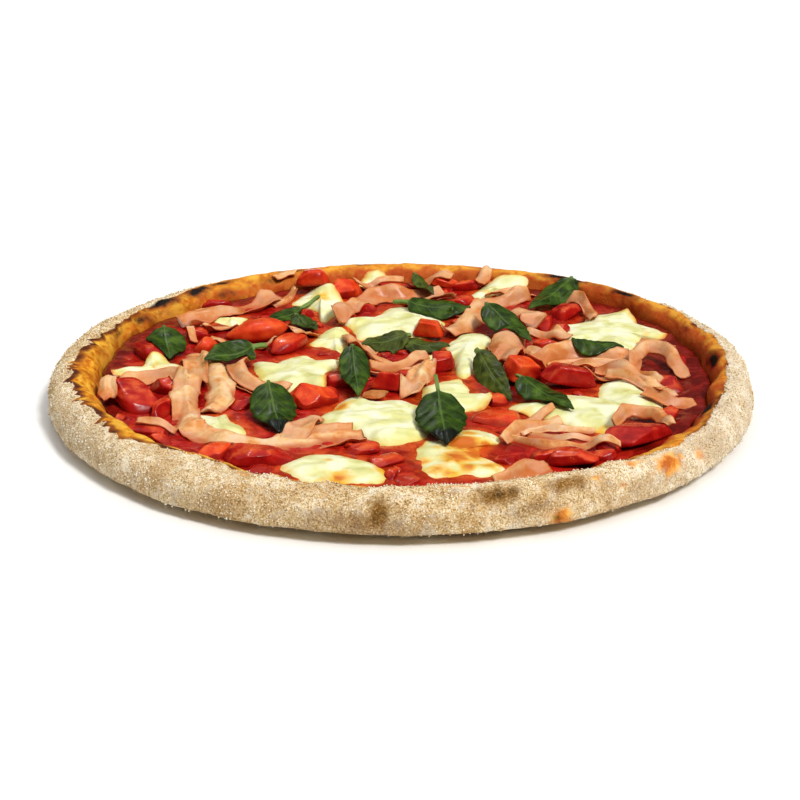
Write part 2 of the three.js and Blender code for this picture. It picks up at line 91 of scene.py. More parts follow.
# name, patches of (rise, stain, corners of the torn outline)
MOZZARELLA = [
    ("mozzarella_centre", [(6, 0.25, [
        (-23, -25), (-14, -30), (0, -29), (9, -36), (15, -46), (16, -60), (12, -72), (7, -78), (0, -82),
        (-8, -82), (-14, -76), (-18, -70), (-22, -65), (-30, -63), (-37, -53), (-31, -41)])]),
    ("mozzarella_left", [(5.5, 0.1, [
        (-70, 20), (-62, 16), (-55, 24), (-45, 30), (-38, 24), (-27, 22), (-31, 9), (-34, -1), (-34, -20),
        (-44, -17), (-50, -22), (-57, -16), (-62, -9), (-67, 3)])]),
    ("mozzarella_front", [(4.5, 0.4, [
        (-50, -104), (-45, -97), (-38, -91), (-29, -90), (-23, -92), (-16, -96), (-11, -100), (-6, -106),
        (-4, -114), (-7, -121), (-13, -122), (-21, -123), (-29, -124), (-36, -122), (-41, -118),
        (-46, -111)])]),
    ("mozzarella_front_right", [(4, 1.0, [
        (5, -90), (7, -83), (11, -77), (15, -75), (22, -66), (29, -62), (37, -64), (42, -70), (43, -77),
        (36, -82), (34, -90), (37, -97), (42, -103), (44, -111), (36, -115), (26, -114), (18, -116),
        (11, -114), (8, -106)])]),
    ("mozzarella_right", [(5.5, 0.15, [
        (48, -40), (57, -29), (66, -24), (75, -22), (86, -24), (95, -26), (101, -38), (100, -48), (96, -57),
        (94, -64), (90, -69), (83, -67), (77, -66), (69, -58), (63, -53), (56, -49)]),
        (5, 0.2, [
        (89, -14), (93, -5), (100, -1), (107, -5), (110, -12), (115, -23), (118, -31), (116, -41),
        (112, -47), (104, -48), (96, -45), (90, -34), (88, -24)])]),
    ("mozzarella_back_right", [(5.5, 0.15, [
        (78, 70), (83, 75), (91, 79), (96, 90), (106, 91), (114, 90), (117, 83), (120, 73), (127, 64),
        (130, 56), (127, 51), (119, 52), (117, 42), (113, 31), (107, 28), (95, 31), (83, 39), (78, 46),
        (77, 57)])]),
    ("mozzarella_middle", [(5.5, 0.1, [
        (21, 31), (22, 45), (26, 53), (30, 60), (38, 63), (45, 58), (44, 46), (39, 36), (39, 29), (36, 17),
        (35, 8), (32, 0), (29, -4), (26, 1), (25, 12), (24, 24)])]),
    ("mozzarella_under_leaf", [(4.5, 0.25, [
        (19, -4), (27, -3), (31, -10), (33, -19), (39, -25), (41, -33), (37, -40), (30, -43), (22, -46),
        (13, -40), (9, -28), (10, -12)])]),
    ("mozzarella_back", [(5.5, 0.15, [
        (-31, 80), (-19, 84), (-11, 92), (-7, 101), (0, 105), (10, 102), (18, 96), (22, 84), (24, 76),
        (22, 66), (19, 59), (13, 53), (5, 54), (-6, 56), (-14, 53), (-21, 54), (-25, 68)]),
        (4.5, 0.2, [
        (-45, 47), (-43, 53), (-40, 62), (-35, 70), (-29, 73), (-24, 62), (-21, 53), (-24, 45), (-25, 38),
        (-29, 31), (-33, 37), (-39, 41)])]),
    ("mozzarella_far_left", [(5.5, 0.3, [
        (-49, 127), (-44, 131), (-38, 126), (-32, 117), (-26, 105), (-30, 97), (-34, 84), (-37, 78),
        (-40, 81), (-42, 93), (-47, 101), (-57, 108), (-53, 119)])]),
    ("mozzarella_left_edge", [(4.5, 0.35, [
        (-134, 8), (-128, 13), (-121, 16), (-117, 22), (-112, 22), (-106, 18), (-101, 16), (-99, 4),
        (-104, 1), (-110, 1), (-116, 0), (-124, 1), (-130, 2)])]),
    ("mozzarella_left_front", [(4, 0.2, [
        (-91, -47), (-86, -46), (-81, -47), (-76, -43), (-73, -52), (-67, -59), (-64, -68), (-67, -76),
        (-73, -74), (-79, -72), (-85, -68), (-89, -58)])]),
    ("mozzarella_far_right", [(4.5, 0.3, [
        (35, 121), (39, 128), (45, 135), (54, 137), (63, 135), (68, 131), (64, 126), (52, 123), (43, 115),
        (37, 107), (34, 113)])]),
]
# patches that are too small to be solids
MOZZARELLA_SCRAPS = [
    (3.5, 0.2, [(-97, 86), (-90, 89), (-79, 89), (-75, 84), (-81, 71), (-87, 74), (-94, 78)]),
    (3, 0.3, [(8, 30), (18, 32), (19, 22), (11, 20)]),
    (2.5, 0.3, [(-24, 133), (-19, 142), (-11, 146), (-7, 140), (-12, 134), (-18, 131)]),
]

# name, x, y, length, width, height, turn, tone from deep red (0) to orange (1), squareness,
# depth sunk in the sauce
TOMATOES = [
    ("tomato_half", -70, 57, 31, 21, 10.5, 8, 0.95, 2.5, 0.4),
    ("tomato_wedge_left", -53, 41, 25, 12, 8, 58, 0.45, 3.6, 0.4),
    ("tomato_dice_centre", -5, -14, 13, 10, 8, 5, 0.45, 12, 0.4),
    ("tomato_wedge_centre", -38, -32, 20, 13, 8, 28, 0.55, 8, 0.8),
    ("tomato_dice_middle", 20, 11, 11, 9, 8, 12, 0.35, 12, 0.4),
    ("tomato_dice_on_cheese", 14, 57, 14, 10, 7, -22, 1.0, 12, 0.4),
    ("tomato_dice_right", 56, -3, 17, 13, 10, 32, 0.8, 12, 0.4),
    ("tomato_chunk_right", 77, -9, 21, 12, 9, 12, 0.1, 9, 0.8),
    ("tomato_wedge_back", -46, 127, 17, 13, 9, 10, 0.7, 4.5, 1.6),
    ("tomato_chunk_far_left", -118, -32, 30, 17, 8, -52, 0.0, 5, 2.0),
    ("tomato_chunk_front", -57, -96, 27, 15, 7, 8, 0.05, 6, 1.4),
    ("tomato_chunk_front_right", 100, -76, 31, 18, 8, 48, 0.0, 5, 2.0),
]

# x, y, length, width, height, turn, tone, squareness; the first ones lie half sunk in the sauce
SUNKEN_TOMATOES = [
    (-27, -9, 14, 10, 7, 15, 0.05, 6), (-93, 41, 13, 9, 7, 60, 0.95, 6), (-29, 124, 18, 13, 9, 0, 0.95, 8),
    (25, 104, 25, 10, 6, -15, 0.15, 5), (71, 74, 20, 10, 6, 70, 0.2, 6), (84, 91, 18, 11, 7, 42, 0.1, 5),
    (68, 40, 13, 9, 7, -60, 0.7, 6), (43, -32, 10, 8, 7, 20, 0.55, 6), (41, -52, 23, 15, 5, -8, 0.85, 6),
    (120, -10, 21, 13, 6, -60, 0.0, 5.5), (-103, -40, 26, 10, 8, 72, 0.35, 5.5),
    (-76, -91, 18, 10, 7, 60, 0.7, 5.5), (70, -100, 21, 13, 7, -20, 0.3, 5.5),
    (-119, 33, 25, 14, 7, -65, 0.0, 5.5),
]
TOMATO_BITS = [
    (-105, -18, 16, 9, 7, -40, 0.2, 5.5), (-128, -24, 17, 9, 5, 20, 0.7, 5.5),
    (-108, -66, 20, 9, 4, -12, 0.05, 5.5), (-99, 57, 11, 9, 6, 10, 0.05, 5), (-47, 90, 8, 6, 5, 30, 0.3, 5),
    (-95, 105, 14, 7, 5, 25, 0.1, 5.5), (-26, 87, 8, 5, 6, 15, 0.7, 5), (-17, 99, 9, 7, 5, 0, 0.0, 5.5),
    (-33, -24, 11, 9, 6, -20, 0.35, 6), (-70, -36, 12, 9, 5, 40, 0.0, 5), (-17, -87, 16, 9, 3, 10, 0.3, 6),
    (-6, -98, 16, 13, 3.4, 35, 0.45, 6), (-8, -127, 16, 9, 2.2, 0, 0.3, 5.5),
    (2, -117, 12, 9, 2.2, 20, 0.7, 5.5), (14, 13, 8, 8, 5, 10, 0.15, 6), (79, 60, 9, 7, 6, 70, 0.1, 6),
    (43, -97, 10, 8, 4, -10, 0.3, 5.5), (60, -94, 14, 8, 4, 15, 0.2, 5.5),
    (82, -94, 13, 8, 4, -20, 0.15, 5.5), (88, -86, 10, 8, 5, 30, 0.1, 5), (44, 138, 11, 6, 4, 0, 0.95, 7),
    (24, 136, 16, 6, 5, 5, 0.75, 5.5), (36, 133, 16, 6, 5, 0, 0.2, 5.5), (-2, 133, 20, 5, 4, 3, 0.2, 5.5),
    (-58, -106, 12, 7, 3, 20, 0.3, 5.5), (30, -125, 16, 6, 3, 10, 0.3, 5.5),
    (116, -52, 14, 8, 4, 60, 0.05, 5.5), (131, 20, 14, 7, 4, 80, 0.0, 5.5),
    (93, 105, 18, 7, 3, -35, 0.05, 5.5), (-72, 112, 12, 7, 4, 30, 0.15, 5.5),
    (-34, 33, 12, 6, 3, 10, 0.25, 5.5), (30, 78, 10, 6, 4, 40, 0.2, 5), (56, 78, 11, 7, 4, 30, 0.15, 5),
    (-100, -76, 12, 6, 3, -40, 0.3, 5.5), (4, 0, 12, 8, 5, -10, 0.1, 5),
]

# name, tone from pale (0) to browned (1), strips of (line of points, width, roll, lean and, for some, arch);
# a strip that leans has its left side up
HAM = [
    ("ham_left_loop", 0.3, [
        ([(-127, -40), (-130, -29), (-128, -15), (-117, -7), (-104, -9), (-97, -22)], 9, 0.5, 0.1, 0.4)]),
    ("ham_left_band", 0.0, [([(-88, 24), (-83, -4), (-80, -28), (-83, -46)], 14, 1, -0.2)]),
    ("ham_left_sweep", 0.1, [
        ([(-98, 30), (-94, 0), (-95, -35), (-87, -67), (-62, -80), (-36, -79), (-15, -75)], 13, 0.4, 0.1),
        ([(-46, -78), (-42, -66), (-37, -54)], 14, 0.5, 0.0)]),
    ("ham_beside_left_cheese", 0.5, [([(-72, 20), (-75, 3), (-66, -14), (-50, -21)], 10, 1, 0.5)]),
    ("ham_back_left", 0.8, [([(-107, 70), (-92, 91), (-73, 101), (-64, 112)], 13, 0.4, 0.1)]),
    ("ham_back_arch", 0.75, [([(-31, 70), (-27, 90), (-14, 110), (5, 116), (22, 122)], 11, 1, 0.5)]),
    ("ham_middle_loop", 0.65, [
        ([(-26, 52), (-20, 32), (-7, 16), (8, 6)], 7, 0.5, -0.5, 2),
        ([(-14, 4), (0, 10), (13, 24)], 6, 0.5, 0.6, 2)]),
    ("ham_centre", 0.0, [([(13, 8), (8, -8), (5, -28)], 12, 0.5, 0.1)]),
    ("ham_back_right", 0.4, [([(66, 116), (50, 106), (41, 88), (32, 70), (24, 54)], 12, 1, -0.3)]),
    ("ham_beside_leaf", 0.5, [([(60, 96), (66, 80), (65, 62)], 13, 1, 0.1)]),
    ("ham_roll", 0.8, [([(54, 52), (51, 30), (46, 10)], 17, 5.5, 0.0)]),
    ("ham_right_arch", 0.4, [
        ([(62, 2), (66, 18), (83, 27), (109, 24)], 10, 1, 0.5),
        ([(69, 13), (84, 18), (108, 15)], 5, 0.6, 0.6),
        ([(80, 15), (91, 10), (108, 7)], 5, 0.5, 0.5)]),
    ("ham_right_fork", 0.55, [([(107, -3), (110, 12), (116, 27), (124, 20), (131, -2)], 7, 0.5, 0.35, 5)]),
    ("ham_right_edge", 0.25, [
        ([(90, 3), (107, -7), (121, -30)], 7, 0.5, 0.4),
        ([(94, -6), (107, -14), (117, -33)], 5, 0.4, 0.5)]),
    ("ham_front_right_arch", 0.45, [([(91, -68), (99, -53), (110, -57), (114, -74)], 6, 0.3, 0.7, 3)]),
    ("ham_front_right_strands", 0.2, [
        ([(43, -80), (53, -67), (69, -57)], 7, 0.6, 0.5),
        ([(51, -71), (64, -67), (83, -67)], 3.5, 0.4, 0.6),
        ([(46, -74), (59, -83), (77, -85), (91, -91)], 4, 0.5, 0.7)]),
    ("ham_front_edge", 0.6, [([(37, -126), (48, -117), (60, -107)], 8, 0.3, 0.6)]),
]
# line of points, width, roll and lean of narrow shreds
HAM_SHREDS = [
    ([(-99, 46), (-103, 60), (-103, 76)], 4, 0.3, 0.3), ([(-83, 43), (-71, 41), (-60, 38)], 5, 0.3, 0.4),
    ([(-92, 52), (-84, 46)], 5, 0.3, 0.2), ([(-52, 60), (-44, 50)], 6, 0.5, 0.0),
    ([(-112, -63), (-103, -67), (-95, -68)], 4, 0.3, 0.3), ([(-17, -25), (-7, -31)], 7, 0.3, 0.2),
    ([(115, 42), (123, 37), (132, 34)], 5, 0.3, 0.5), ([(108, -30), (119, -37), (130, -35)], 7, 0.3, 0.1),
    ([(82, 106), (91, 104), (95, 90), (96, 72)], 6, 0.5, 0.6), ([(62, 30), (70, 22)], 5, 0.3, 0.3),
    ([(84, -3), (94, -6), (104, -4)], 6, 0.3, 0.4), ([(52, -60), (60, -52), (66, -45)], 5, 0.3, 0.5),
    ([(-22, 46), (-14, 36), (-16, 28)], 8, 0.5, -0.4), ([(28, 84), (36, 92), (48, 96)], 7, 0.5, 0.5),
    ([(-88, 98), (-100, 92), (-104, 82)], 7, 0.3, -0.2), ([(-62, -22), (-74, -8), (-78, 8)], 7, 0.3, -0.3),
    ([(60, 34), (68, 26), (78, 30)], 6, 0.3, 0.5), ([(-66, 131), (-60, 135), (-55, 136)], 5, 0.3, 0.1),
    ([(6, 132), (17, 138), (28, 136)], 8, 0.5, 0.2), ([(42, 130), (46, 143)], 8, 0.3, 0.1),
    ([(-24, 128), (-12, 133), (2, 135)], 5, 0.4, 0.4), ([(-66, 104), (-60, 114), (-54, 120)], 7, 0.5, 0.3),
    ([(70, 118), (56, 122), (46, 116)], 6, 0.4, 0.5), ([(-40, 56), (-50, 62), (-58, 70)], 6, 0.4, 0.3),
    ([(100, 6), (112, -2), (118, -16)], 5, 0.3, 0.5), ([(54, -71), (68, -76), (85, -75)], 3, 0.3, 0.6),
    ([(-44, -71), (-32, -70), (-20, -67)], 8, 0.5, 0.3), ([(-28, 18), (-18, 6), (-8, 0)], 5, 0.3, -0.5),
    ([(28, 100), (14, 106), (-2, 102)], 6, 0.4, 0.5), ([(-80, 66), (-90, 66), (-96, 58)], 5, 0.3, 0.4),
    ([(62, 60), (74, 56), (82, 48)], 6, 0.4, 0.4),
]

# name, x, y, turn, length, width, stem, lift, roll, tone from fresh (0) to olive (1), scorch at the tip
BASIL = [
    ("basil_far_back", 13, 120, -70, 24, 10, 4, 3, 20, 0.7, 0.0),
    ("basil_back_left", -59, 87, 230, 26, 12, 14, 2, 25, 0.3, 0.0),
    ("basil_back_small", -46, 68, -60, 21, 12, 3, 1, 0, 0.5, 0.0),
    ("basil_back_centre", 20, 90, -12, 32, 20, 8, 1, -18, 0.25, 0.0),
    ("basil_back_right", 77, 106, -125, 41, 19, 2, 4, 0, 0.1, 0.0),
    ("basil_right_long", 53, 53, -62, 41, 16, 2, 6, -10, 0.15, 0.0),
    ("basil_sprig_right", 13, 36, -12, 22, 14, 2, 0, -15, 0.8, 0.0),
    ("basil_sprig_left", -8, 38, 200, 24, 16, 2, 2, 20, 0.9, 0.0),
    ("basil_left", -111, 34, -78, 30, 19, 2, 5, 0, 0.25, 0.0),
    ("basil_left_inner", -80, 15, 206, 24, 21, 7, 2, 30, 0.2, 0.0),
    ("basil_right_small", 94, 32, -8, 25, 18, 5, 0, -20, 0.1, 0.0),
    ("basil_centre", -20, -16, -85, 43, 14, 2, 8, 0, 0.2, 0.0),
    ("basil_right_folded", 43, -10, -72, 42, 11, 4, 8, -35, 0.8, 0.0),
    ("basil_right", 65, -35, -55, 36, 17, 4, 3, 0, 0.15, 0.0),
    ("basil_left_front", -54, -53, -79, 40, 20, 2, 8, 0, 0.1, 1.0),
    ("basil_front", 18, -68, -86, 41, 22, 14, 10, 0, 0.05, 1.0),
]

# How far over the rim the flour reaches: angle round the pizza and angle over the rim, in degrees
FLOUR_LINE = [
    (0, 100), (15, 100), (30, 78), (50, 55), (90, 45), (125, 58), (140, 98), (147, 112), (159, 116),
    (167, 114), (177, 94), (190, 88), (220, 80), (231, 92), (245, 100), (270, 104), (300, 98), (318, 90),
    (337, 97), (347, 112), (360, 100),
]

# Scorched places on the rim: angle round, angle over, length round, length over, depth
CHAR = [
    (1.5, 136, 6, 4, 1.0), (337, 128, 8, 3.5, 1.0), (55, 100, 12, 3, 1.0), (41, 108, 9, 3, 0.9),
    (134, 106, 6, 4.5, 0.9), (143, 106, 10, 3.5, 0.9), (128, 96, 8, 2.5, 0.7), (146, 150, 12, 4, 0.45),
    (284, 58, 11, 4, 0.5), (267, 24, 4, 6, 0.45), (112, 96, 9, 2.5, 0.6), (98, 84, 6, 3, 0.5),
    (72, 92, 9, 2.5, 0.5), (158, 116, 6, 3, 0.5), (166, 108, 7, 3, 0.5), (152, 132, 8, 4, 0.5),
    (20, 132, 7, 3, 0.5), (217, 74, 5, 2.5, 0.5), (188, 84, 5, 3, 0.45), (150, 142, 8, 4, 0.6),
    (160, 146, 9, 4, 0.5), (128, 146, 9, 4, 0.5), (117, 130, 8, 3, 0.5), (172, 140, 8, 3, 0.45),
    (292, 4, 3, 2, 0.55),
]

# Bubbles where the flour has rubbed off and the baked crust shows: angle round, angle over, lengths, depth
BUBBLES = [
    (313, 45, 8, 5.5, 1.0), (307, 72, 5, 2.2, 0.75), (320, 33, 5, 3.5, 0.6), (292.5, 6, 6, 2.5, 0.85),
    (299, 58, 3, 1.6, 0.75), (303, 30, 3, 1.5, 0.5), (278, 84, 7, 1.6, 0.5), (246, 86, 6, 1.6, 0.5),
]

# Browned smudges on the flour: angle round, angle over, length round, length over, depth
SMUDGES = [
    (267, 26, 6, 8, 1.0), (284, 54, 13, 5.5, 1.0), (294, 57, 11, 5, 0.95), (288, 22, 13, 5, 0.7),
    (277, 66, 8, 3, 0.6), (301, 40, 8, 4, 0.5), (306, 22, 10, 5, 0.6), (316, 60, 9, 4, 0.55),
    (311, 18, 8, 4, 0.5), (322, 48, 7, 3, 0.4), (190, 25, 15, 6, 0.5), (214, 50, 12, 6, 0.4),
    (232, 40, 16, 6, 0.45), (250, 55, 13, 5, 0.45), (258, 15, 12, 5, 0.4), (326, 55, 10, 4, 0.45),
    (345, 30, 14, 6, 0.35), (30, 30, 20, 8, 0.5), (75, 30, 24, 8, 0.6), (110, 25, 22, 8, 0.6),
    (150, 35, 18, 8, 0.4), (264, 12, 40, 7, 0.7), (241, 15, 24, 5, 0.55), (276, 40, 16, 4, 0.4),
]

# Oily orange stains on the cheese: x, y, radius, depth
STAINS = [
    (-25, -41, 6, 0.9), (-25, -118, 8, 0.9), (-6, -108, 6, 0.9), (-29, -102, 3, 0.6), (-47, -108, 6, 0.6),
    (26, -83, 10, 1.2), (32, -93, 9, 1.2), (23, -98, 8, 1.1), (37, -104, 7, 0.9), (9, -100, 5, 0.7),
    (30, -72, 6, 0.8), (14, -108, 6, 0.8), (20, -112, 5, 0.8), (41, -98, 6, 0.9), (37, -86, 8, 1.1),
    (16, -87, 4, 0.6), (28, -107, 6, 0.8), (-41, 111, 6, 0.7), (-52, 116, 5, 0.6), (-112, 10, 6, 0.6),
    (-66, -6, 6, 0.5), (-72, -58, 5, 0.5), (56, -45, 5, 0.5), (88, -66, 6, 0.6), (108, -44, 6, 0.5),
    (26, 10, 4, 0.5), (-34, 50, 5, 0.4), (16, -40, 5, 0.5), (120, 54, 5, 0.5), (45, 122, 6, 0.5),
    (-86, 80, 5, 0.5),
]


# Noise and shape helpers


def seeded(seed):
    """A repeatable number from 0 to 1."""
    wave = np.sin(seed * 127.1 + 311.7) * 43758.5453
    return wave - np.floor(wave)


def lumps(angle, seed, first, last):
    """A smooth wave round a full turn, made of a few harmonics."""
    total = 0.0
    for n in range(first, last + 1):
        total = total + np.cos(n * angle + 2 * math.pi * seeded(seed + n)) / (1 + n - first)
    return total / 1.5


_draw = np.random.default_rng(11)
_order = np.tile(_draw.permutation(256), 2)
_slopes = _draw.normal(size=(256, 3))
_slopes /= np.linalg.norm(_slopes, axis=1)[:, None]


def noise(points, size, octaves=1, seed=0):
    """Smooth noise from about -1 to 1, with lumps of about that size."""
    flat = np.reshape(points, (-1, 3)) / size + 13.7 * seed + 100.0
    total, share, whole = 0.0, 1.0, 0.0
    for _ in range(octaves):
        cell = np.floor(flat).astype(int)
        part = flat - cell
        fade = part**3 * (part * (part * 6 - 15) + 10)
        value = np.zeros(len(flat))
        for corner in np.ndindex(2, 2, 2):
            c = np.array(corner)
            i = (cell + c) & 255
            slope = _slopes[_order[_order[_order[i[:, 0]] + i[:, 1]] + i[:, 2]]]
            weight = np.prod(np.where(c, fade, 1 - fade), axis=1)
            value += weight * np.sum(slope * (part - c), axis=1)
        total = total + share * value * 1.7
        whole += share
        share *= 0.5
        flat = flat * 2.03 + 5.1
    return (total / whole).reshape(np.shape(points)[:-1])


def ease(low, high, value):
    """0 below low, 1 above high, smooth between."""
    t = np.clip((value - low) / (high - low), 0, 1)
    return t * t * (3 - 2 * t)


def xyz(x, y, z=0.0):
    """Points from their coordinates."""
    return np.stack(np.broadcast_arrays(x, y, z), -1)


def round_angles(count):
    """Angles round a full turn, as one row."""
    return np.linspace(0, 2 * math.pi, count, endpoint=False)[None, :]


def shell(grid, start, end):
    """Points, quads and triangles of rings joined in a row and closed by a point at each end."""
    n, m, _ = grid.shape
    points = np.vstack([grid.reshape(-1, 3), start, end])
    row = np.arange(n - 1)[:, None] * m
    j = np.arange(m)
    k = (j + 1) % m
    quads = np.stack([row + j, row + k, row + m + k, row + m + j], -1).reshape(-1, 4)
    first = np.stack([k, j, np.full(m, n * m)], 1)
    last = np.stack([(n - 1) * m + j, (n - 1) * m + k, np.full(m, n * m + 1)], 1)
    return points, quads, np.vstack([first, last])


def capped(grid):
    """A shell whose end points lie in the middle of its first and last rings."""
    return shell(grid, grid[0].mean(0)[None], grid[-1].mean(0)[None])


def sheet(upper, lower):
    """A shell of an upper and a lower face."""
    return capped(np.concatenate([upper, lower[:, ::-1]], 1))


def with_ends(values):
    """A value for each point of a shell, the two end points included."""
    return np.concatenate([values.ravel(), [values[0].mean(), values[-1].mean()]])


def two_sided(values):
    """A value for each point of a sheet, the same on both faces."""
    return with_ends(np.concatenate([values, values[:, ::-1]], 1))


def normals_of(grid):
    """Outward normals of a grid of rings."""
    along = np.gradient(grid, axis=0)
    around = np.roll(grid, -1, 1) - np.roll(grid, 1, 1)
    n = np.cross(around, along)
    return n / np.maximum(np.linalg.norm(n, axis=2, keepdims=True), 1e-9)


def joined(parts):
    """Several (points, quads, triangles, values) as one."""
    starts = np.cumsum([0] + [len(part[0]) for part in parts])
    quads, tris = (np.vstack([part[k] + start for part, start in zip(parts, starts)]) for k in (1, 2))
    values = {key: np.concatenate([part[3][key] for part in parts]) for key in parts[0][3]}
    return np.vstack([part[0] for part in parts]), quads, tris, values


def make(name, part, material, nodes=()):
    """A smooth mesh object of (points, quads, triangles, values) that rides on the pizza."""
    points, quads, tris, values = part
    mesh = bpy.data.meshes.new(name)
    mesh.vertices.add(len(points))
    mesh.vertices.foreach_set("co", (points * MM).astype(np.float32).ravel())
    mesh.loops.add(quads.size + tris.size)
    mesh.loops.foreach_set("vertex_index", np.concatenate([quads.ravel(), tris.ravel()]).astype(np.int32))
    starts = np.concatenate([np.arange(len(quads)) * 4, quads.size + np.arange(len(tris)) * 3])
    mesh.polygons.add(len(starts))
    mesh.polygons.foreach_set("loop_start", starts.astype(np.int32))
    mesh.update(calc_edges=True)
    mesh.validate()
    mesh.shade_smooth()
    for key, value in values.items():
        layer = mesh.attributes.new(key, "FLOAT", "POINT")
        layer.data.foreach_set("value", np.asarray(value, np.float32))
    piece = bpy.data.objects.new(name, mesh)
    bpy.context.collection.objects.link(piece)
    mesh.materials.append(material)
    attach(piece, "root")
    if nodes:
        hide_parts(*nodes)


def lay(name, part, kind, nodes=()):
    """Makes a piece and adds it to the relief that later pieces rest on."""
    relief.cover(part)
    make(name, part, paints[kind], nodes)


class Relief:
    """The top of everything laid so far, on a 1 mm grid over the pizza."""

    HALF = 172
    STEPS = (0.125, 0.375, 0.625, 0.875)

    def __init__(self):
        self.top = np.zeros((2 * self.HALF, 2 * self.HALF))

    def cover(self, part):
        """Raises the top to a piece's faces, sampled closely enough to leave no gap."""
        points, quads, tris = part[:3]
        near_left, far_left, far_right, near_right = (points[quads[:, k]] for k in (0, 1, 2, 3))
        self.raise_to(points[tris].mean(1))
        for u in self.STEPS:
            left, right = near_left + (far_left - near_left) * u, near_right + (far_right - near_right) * u
            for v in self.STEPS:
                self.raise_to(left + (right - left) * v)

    def raise_to(self, points):
        i = np.clip(np.floor(points[:, :2] + self.HALF).astype(int), 0, 2 * self.HALF - 1)
        np.maximum.at(self.top, (i[:, 1], i[:, 0]), points[:, 2])

    @staticmethod
    def spread(grid, reach):
        """The highest value within reach of each cell."""
        out = grid.copy()
        for dy in range(-reach, reach + 1):
            for dx in range(-reach, reach + 1):
                if 0 < dx * dx + dy * dy <= reach * reach + 1:
                    out = np.maximum(out, np.roll(grid, (dy, dx), (0, 1)))
        return out

    @staticmethod
    def blurred(grid, reach):
        """The grid averaged twice over a square."""
        for axis in (0, 1, 0, 1):
            grid = sum(np.roll(grid, d, axis) for d in range(-reach, reach + 1)) / (2 * reach + 1)
        return grid

    @staticmethod
    def at(grid, x, y):
        """The grid's value at points, worked out between cells."""
        gx, gy = (np.clip(v + Relief.HALF - 0.5, 0, 2 * Relief.HALF - 1.001) for v in (x, y))
        ix, iy = gx.astype(int), gy.astype(int)
        fx, fy = gx - ix, gy - iy
        low = grid[iy, ix] * (1 - fx) + grid[iy, ix + 1] * fx
        high = grid[iy + 1, ix] * (1 - fx) + grid[iy + 1, ix + 1] * fx
        return low * (1 - fy) + high * fy

    def ground(self, x, y, reach, blur):
        """The height that a soft piece rests on: it spans small hollows and clears every top."""
        soft = self.blurred(self.spread(self.top, reach), blur)
        return np.maximum(self.at(soft, x, y), self.at(self.top, x, y))

    def softened(self, low, x, y, gap, times):
        """Heights of a strip, smoothed along it and kept a gap above what lies under it."""
        floor = self.at(self.top, x, y) + gap
        for _ in range(times):
            padded = np.pad(low, ((1, 1), (0, 0)), "edge")
            low = np.maximum((padded[:-2] + 2 * padded[1:-1] + padded[2:]) / 4, floor)
        return low


relief = Relief()


def placed(x, y, turn, along, across):
    """Where points of a piece lie when it is turned, in degrees, and moved to x and y."""
    cos, sin = math.cos(math.radians(turn)), math.sin(math.radians(turn))
    return x + along * cos - across * sin, y + along * sin + across * cos


def smooth_line(p, detail):
    """The length of a smooth line through all points but the two end ones, and what gives points on it."""
    t = np.linspace(0, 1, detail, endpoint=False)[:, None]
    runs = []
    for a, b, c, d in zip(p, p[1:], p[2:], p[3:]):
        square, cube = 2 * a - 5 * b + 4 * c - d, 3 * b - a - 3 * c + d
        runs.append(0.5 * (2 * b + (c - a) * t + square * t**2 + cube * t**3))
    path = np.vstack(runs + [p[-2:-1]])
    gone = np.concatenate([[0], np.cumsum(np.linalg.norm(np.diff(path, axis=0), axis=1))])
    return gone[-1], lambda where: np.stack([np.interp(where, gone, path[:, k]) for k in (0, 1)], 1)


def route(line, step):
    """Evenly spaced points on a smooth line through those given, the way ahead at each, and the length."""
    p = np.array(line, float)
    length, points_at = smooth_line(np.vstack([2 * p[0] - p[1], p, 2 * p[-1] - p[-2]]), 40)
    centre = points_at(np.linspace(0, length, max(8, round(length / step))))
    ahead = np.gradient(centre, axis=0)
    return centre, ahead / np.linalg.norm(ahead, axis=1)[:, None], length


def closed_curve(corners, count):
    """Evenly spaced points round a smooth closed line through the corners."""
    p = np.array(corners, float)
    length, points_at = smooth_line(np.vstack([p[-1:], p, p[:2]]), 24)
    return points_at(np.linspace(0, length, count, endpoint=False))


# Materials


def linear(colour):
    """A colour of 0 to 255 as Blender's linear values."""
    c = np.array(colour) / 255.0
    return (*np.where(c <= 0.04045, c / 12.92, ((c + 0.055) / 1.055) ** 2.4), 1.0)


